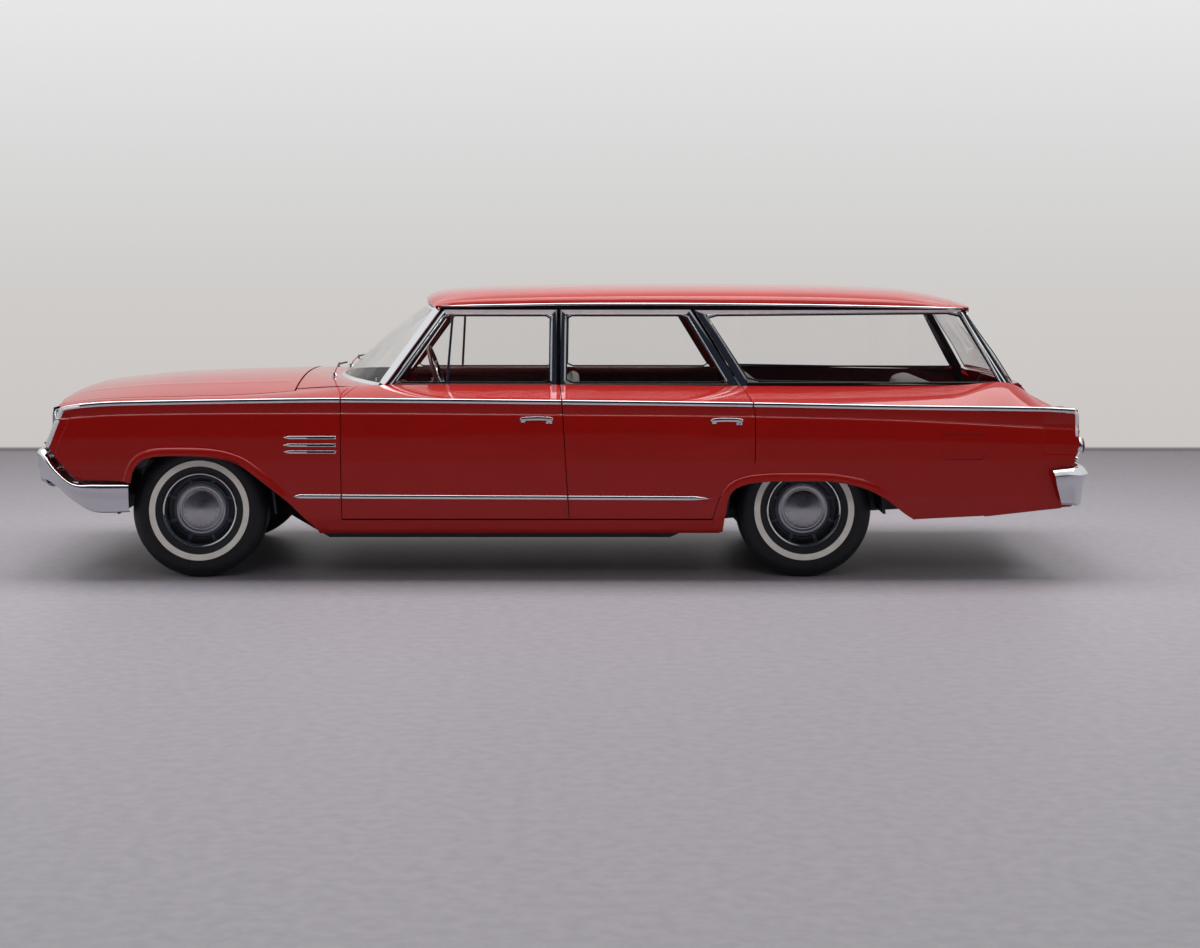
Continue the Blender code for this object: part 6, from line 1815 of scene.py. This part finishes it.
def door_cards():
    for hand, side in HANDS.items():
        for door, low_x, high_x in (("front_door", -0.855, -0.050), ("rear_door", 0.075, 0.905)):
            body = f"{door}_{hand}"

            def place(i, j):
                z = 0.375 + 0.555 * j / 28
                end = high_x if door == "front_door" else min(high_x, straight(CUT_C, z) - 0.060)
                x = low_x + (end - low_x) * i / 40
                y = min(straight(CARD_FACE, z) - 0.0030, 0.7462)
                y -= 0.003 * ramp((0.80 - z) / 0.008) * ramp((z - 0.52) / 0.008)
                band = ramp((0.78 - z) / 0.01) * ramp((z - 0.54) / 0.01)
                y -= 0.0022 * abs(math.sin(math.pi * x / 0.060)) ** 0.5 * band
                return Vector((x, side * y, z))

            sheet_of(
                f"{door}_card_{hand}", 40, 28, place, RED_VINYL, body, out=0.0, wall=-0.0012,
                flip=side > 0,
            )
            reach = 0.825 if door == "rear_door" else high_x - low_x
            path = [Vector((low_x + reach * k / 20, side * 0.7440, 0.952)) for k in range(21)]
            shaped(
                f"{door}_garnish_{hand}", RED_VINYL, (bead, path, (0, -side, 0.35), 0.026, 0.010),
                body=body,
            )
            middle = low_x + 0.42 * (high_x - low_x)
            y = straight(CARD_FACE, 0.72)
            low = (middle, side * (y + 0.004), 0.690)
            high = (middle + 0.26, side * (y - 0.045), 0.735)
            shaped(f"{door}_armrest_{hand}", SEAT_VINYL, (block, low, high, 0.014, 4), body=body)
            bm = bmesh.new()
            # The window winder, then the inner handle: x, z and length of the lever
            pull = 0.26 if door == "rear_door" else 0.16
            for x, z, reach in ((low_x + 0.14, 0.790, 0.060), (high_x - pull, 0.800, 0.045)):
                y = straight(CARD_FACE, z)
                knob(
                    bm, (x, side * (y - 0.001), z), (0, -side, 0),
                    ((0.0, 0.020), (0.010, 0.019), (0.013, 0.014), (0.016, 0.004), (0.017, 0.0)),
                )
                lever = ((0.0, 0.018, 0.0), (0.6, 0.022, 0.5), (1.0, 0.024, 1.0))
                path = [(x + reach * a, side * (y - b), z - reach * c) for a, b, c in lever]
                bar(bm, path, 0.0048, 8)
            piece(f"{door}_winder_{hand}", bm, CHROME, body)

        def trim_place(i, j):
            y = 0.7440 - 0.002 * abs(math.sin(math.pi * i / 3))
            return Vector((1.02 + 1.23 * i / 30, side * y, 0.605 + 0.362 * j / 10))

        sheet_of(
            f"cargo_trim_{hand}", 30, 10, trim_place, RED_VINYL, out=0.0, wall=-0.0012,
            flip=side > 0,
        )


def floor_trim():
    """Carpet over the floor and its hump, and the ribbed mat of the load deck."""
    def carpet(i, j):
        x = -1.015 + 1.875 * i / 60
        y = 0.755 * (2 * j / 40 - 1)
        z = straight(FLOOR_TOP, x) + 0.0030
        hump = 0.404 * ramp((0.205 - abs(y)) / 0.030)
        return Vector((x, y, max(z, hump)))

    sheet_of("carpet", 60, 40, carpet, CARPET, out=0.0, wall=0.0015)

    def deck(i, j):
        return Vector((0.875 + 1.555 * i / 30, 0.738 * (2 * j / 12 - 1), 0.6035))

    sheet_of("load_deck_mat", 30, 12, deck, RED_VINYL, out=0.0, wall=0.0020)
    bm = bmesh.new()
    for k in range(9):
        y = -0.52 + 1.04 * k / 8
        path = [Vector((1.060 + 1.350 * m / 20, y, 0.6038)) for m in range(21)]
        bead(bm, path, (0, 0, 1), 0.008, 0.0040, tips=(0.5, 0.5))
    piece("load_deck_strips", bm, BRIGHT_TRIM)


def steering():
    """The steering wheel with its horn ring, and the column."""
    hub, foot = Vector((-0.635, -0.370, 0.951)), Vector((-1.100, -0.370, 0.8048))
    axis = (hub - foot).normalized()
    turn = axis.to_track_quat("Z", "Y").to_matrix()
    bm = bmesh.new()
    rim_radius, ring_radius = 0.198, 0.118
    rim = circle(hub, *(turn @ Vector(way) * rim_radius for way in ((1, 0, 0), (0, 1, 0))), 72)
    bar(bm, rim, 0.0108, 12, loop=True)
    across = Vector((0, 1, 0))
    for way in (-1, 1):
        spoke = ((0.012, 0.030), (0.010, 0.110), (0.0, 0.192))
        path = [hub - axis * back + across * way * far for back, far in spoke]
        bar(bm, path, 0.0085, 10)
    bar(bm, [foot - axis * 0.033, foot + axis * 0.30, hub - axis * 0.030], 0.0255, 20)
    boss = ((0.0, 0.044), (0.024, 0.040), (0.036, 0.026), (0.040, 0.0))
    knob(bm, hub - axis * 0.034, axis, boss, 28)
    piece("steering_rim", bm, RED_VINYL, "steering_wheel", replaces=("steering_wheel",))
    turns = [math.radians(a) for a in range(60, 301, 6)]
    arc = [turn @ Vector((math.cos(t), math.sin(t), 0)) * ring_radius for t in turns]
    path = [hub + axis * 0.012 + spot for spot in arc]
    button = ((0.0, 0.022), (0.016, 0.020), (0.022, 0.014), (0.024, 0.006))
    shaped(
        "horn_ring", CHROME, (bar, path, 0.0038, 8), (knob, hub, axis, button, 24),
        body="steering_wheel",
    )


def instruments():
    """Fittings on the instrument shelf: the panel with its dials, the glove box and knobs."""
    dials, dial_z, dial_radius = (-0.520, -0.375, -0.230), 0.830, 0.032

    def at(y, z, out=0.0):
        x = -0.860 - (0.880 - z) * 0.333 if z > 0.820 else -0.880 - (0.820 - z) * 0.167
        return Vector((x + out, y, z))

    low, high = at(-0.600, 0.790, -0.012), at(-0.150, 0.868, 0.010) + Vector((0.018, 0, 0))
    shaped("dial_panel", BRIGHT_TRIM, (block, low, high, 0.006, 3))
    bm = bmesh.new()
    for y in dials:
        knob(bm, at(y, dial_z, 0.019), (1, 0, 0), ((0.0, 0.004), (0.030, 0.004), (0.031, 0.0)), 32)
    piece("dial_faces", bm, DIAL_BLACK)
    bm = bmesh.new()
    for y in dials:
        path = upright_circle(at(y, dial_z, 0.024), dial_radius, 32)
        bar(bm, path, 0.0022, 6, loop=True)
        bar(bm, [at(y, dial_z, 0.0245), at(y + 0.014, dial_z + 0.016, 0.0245)], 0.0011, 6)
    for y, z in (
        (-0.06, 0.83), (0.0, 0.83), (0.06, 0.83), (0.13, 0.80), (-0.12, 0.76), (-0.66, 0.76),
    ):
        profile = ((0.0, 0.022), (0.008, 0.021), (0.010, 0.016), (0.010, 0.008), (0.006, 0.0))
        knob(bm, at(y, z), (1, 0, 0), profile, 16)
    # The strip along the shelf's edge, and the glove box's lower edge and latch
    path = [at(-0.655 + 1.31 * k / 20, 0.866, 0.004) for k in range(21)]
    bead(bm, path, (1, 0, 0.2), 0.0040, 0.0040)
    path = [at(0.20 + 0.38 * k / 10, 0.725, 0.001) for k in range(11)]
    bead(bm, path, (1, 0, 0), 0.0030, 0.0030)
    block(bm, at(0.36, 0.840, -0.004), at(0.42, 0.852, 0.010), 0.002)
    piece("dial_rings_and_knobs", bm, CHROME)
    shaped("inner_mirror", CHROME, (block, (-0.640, -0.105, 1.292), (-0.628, 0.105, 1.346), 0.004))
    bm = bmesh.new()
    bar(bm, [(-0.636, 0, 1.330), (-0.640, 0, 1.366), (-0.650, 0, 1.392)], 0.005, 8)
    for side in (-1, 1):
        block(bm, (-0.600, side * 0.080, 1.352), (-0.480, side * 0.500, 1.366), 0.006)
    piece("mirror_stem_and_visors", bm, LINING)


# Profile of a headlamp's glass: radius, distance ahead
HEADLAMP_PROFILE = (
    (0.0, 0.0160), (0.018, 0.0154), (0.036, 0.0125), (0.051, 0.0070), (0.0600, -0.0005),
    (0.0612, -0.0060),
)


def front_lamps_and_grille():
    face_x, low_z, high_z, half = -2.545, 0.664, 0.852, 0.866
    for hand, side in HANDS.items():
        for count, y in enumerate((0.580, 0.790)):
            spot = (face_x, side * y, 0.758)
            shaped(
                f"headlamp_glass_{count}_{hand}", LAMP_GLASS,
                (knob, spot, (-1, 0, 0), HEADLAMP_PROFILE, 48),
            )
            path = upright_circle(Vector(spot) - Vector((0.0075, 0, 0)), 0.0725, 56)
            shaped(
                f"headlamp_bezel_{count}_{hand}", CHROME,
                (bead, path, (-1, 0, 0), 0.0118, 0.0095, {"loop": True}),
            )
    bm = bmesh.new()
    for k in range(-32, 33):
        y = 0.015 * k
        low = (face_x + 0.006, y - 0.0010, low_z + 0.006)
        block(bm, low, (face_x + 0.050, y + 0.0010, high_z - 0.006))
    piece("grille_fins", bm, BRIGHT_TRIM)
    bm = bmesh.new()
    around = ((-half, low_z), (half, low_z), (half, high_z), (-half, high_z))
    corners = [Vector((face_x - 0.002, y, z)) for y, z in around]
    path = []
    for a, b in zip(corners, corners[1:] + corners[:1]):
        path += between(a, b, 16)[:-1]
    bead(bm, path, (-1, 0, 0), 0.0085, 0.0100, loop=True)
    for y in (-0.488, 0.488):
        path = between((face_x + 0.001, y, low_z), (face_x + 0.001, y, high_z), 8)
        bead(bm, path, (-1, 0, 0), 0.0075, 0.0080)
    piece("grille_surround", bm, CHROME)


TAIL_EDGE = (
    (2.534, 0.846), (2.552, 0.846), (2.567, 0.8455), (2.579, 0.8425), (2.5865, 0.836),
    (2.5895, 0.824), (2.5905, 0.806), (2.5905, 0.784), (2.5900, 0.762), (2.5890, 0.738),
    (2.5880, 0.718),
)
# Profiles of a tail lamp: radius and how far it stands out
BEZEL_PROFILE = (
    (0.0540, 0.0600), (0.0580, 0.0640), (0.0620, 0.0630), (0.0645, 0.0570), (0.0650, 0.0440),
    (0.0625, 0.0380), (0.0650, 0.0320), (0.0650, 0.0),
)
LENS_PROFILE = (
    (0.0, 0.0835), (0.016, 0.0832), (0.0175, 0.0808), (0.0190, 0.0828), (0.034, 0.0812),
    (0.0355, 0.0788), (0.0370, 0.0804), (0.047, 0.0775), (0.0515, 0.0715), (0.0535, 0.0560),
)
REVERSING_PROFILE = ((0.0, 0.0842), (0.0100, 0.0840), (0.0130, 0.0832), (0.0140, 0.0815))
LAMP_HEIGHT = 0.78


def tail_lamps():
    for hand, side in HANDS.items():
        spot = Vector((2.5615, side * 0.835, 0.664))
        for name, profile, finish, replaced in (
            ("bezel", BEZEL_PROFILE, CHROME, ()),
            ("lens", LENS_PROFILE, LENS_RED, (f"tail_lamp_{hand}",)),
            ("reversing_lens", REVERSING_PROFILE, LAMP_GLASS, ()),
        ):
            bm = bmesh.new()
            knob(bm, spot, (1, 0, 0), profile, 48)
            for v in bm.verts:
                v.co.z = spot.z + (v.co.z - spot.z) * LAMP_HEIGHT
            piece(f"tail_lamp_{name}_{hand}", bm, finish, replaces=replaced)
        shaped(
            f"tail_button_{hand}", CHROME,
            (
                knob, (2.5720, side * 0.9150, 0.6010), (1, side * 0.5, 0.2),
                ((0.0, 0.0290), (0.008, 0.0270), (0.0125, 0.0200), (0.0140, 0.0120), (0.0125, 0.0)),
                24,
            ),
        )
        # The bright edge of the tail, from the belt strip down to the lamp, in white paint: a
        # painted highlight in place of its chrome's reflection
        path, outs = [], []
        for x, z in TAIL_EDGE:
            path.append(Vector((x, side * (side_y(x, side_level(x, z)) - 0.004), z)))
            outs.append((0.9 * ramp((x - 2.55) / 0.04), side, 0.0))
        shaped(
            f"tail_edge_moulding_{hand}", WHITE_HIGHLIGHT_PAINT,
            (bead, smooth_points(path), smooth_points(outs), 0.0130, 0.0060, {"tips": (1.0, 0.6)}),
        )


def on_gate(y, z, out=0.0):
    u = y / GATE_HALF
    rows = sorted((h, x) for x, h in GATE_FACE)
    return Vector((straight(rows, z) - GATE_BOW * u * u + out, y, z))


def gate_fittings():
    """The valance under the gate, and the bars, handle, plates and plate lamp."""
    def valance(i, j):
        return Vector((2.4456, -0.688 + 1.376 * i / 30, 0.440 + 0.1795 * j / 6))

    sheet_of("tail_valance", 30, 6, valance, ENAMEL, out=0.0, wall=0.0012)
    bm = bmesh.new()
    for half, z, proud, steps, out, wide, thick, tip in (
        (0.66, 0.955, 0.0005, 40, (0.8, 0, 0.6), 0.0095, 0.0060, 0.6),
        (0.66, 0.812, 0.0005, 40, (1, 0, 0.2), 0.0085, 0.0055, 0.6),
        (0.11, 0.880, 0.0100, 12, (1, 0, 0.5), 0.0100, 0.0060, 0.5),
    ):
        path = [on_gate(-half + 2 * half * k / steps, z, proud) for k in range(steps + 1)]
        bead(bm, path, out, wide, thick, tips=(tip, tip))
    for y in (-0.10, 0.10):
        block(bm, on_gate(y - 0.010, 0.872, -0.004), on_gate(y + 0.010, 0.888, 0.014), 0.003)
    knob(
        bm, on_gate(0.0, 0.905, 0.0), (0.9, 0, 0.5),
        ((0.0, 0.010), (0.011, 0.009), (0.014, 0.004), (0.014, 0.0)), 20,
    )
    piece("tailgate_bright_bars", bm, CHROME, "tailgate")
    # Blank number plates, the rear one with a lamp over it
    half, tall, rear_z, front_z = 0.152, 0.106, 0.662, 0.500
    face = max(on_gate(0.0, rear_z + tall * k / 8).x for k in range(9))
    low, high = (face - 0.004, -half, rear_z), (face + 0.0045, half, rear_z + tall)
    shaped("rear_blank_plate", PLATE_PAINT, (block, low, high, 0.0015), body="tailgate")
    low, high = (-2.6690, -half, front_z), (-2.6640, half, front_z + tall)
    shaped("front_blank_plate", PLATE_PAINT, (block, low, high, 0.0015))
    shaped(
        "plate_lamp", CHROME,
        (block, on_gate(-0.045, 0.776, -0.002), on_gate(0.045, 0.792, 0.016), 0.004),
        body="tailgate",
    )


benches()
door_cards()
floor_trim()
steering()
instruments()
front_lamps_and_grille()
tail_lamps()
gate_fittings()
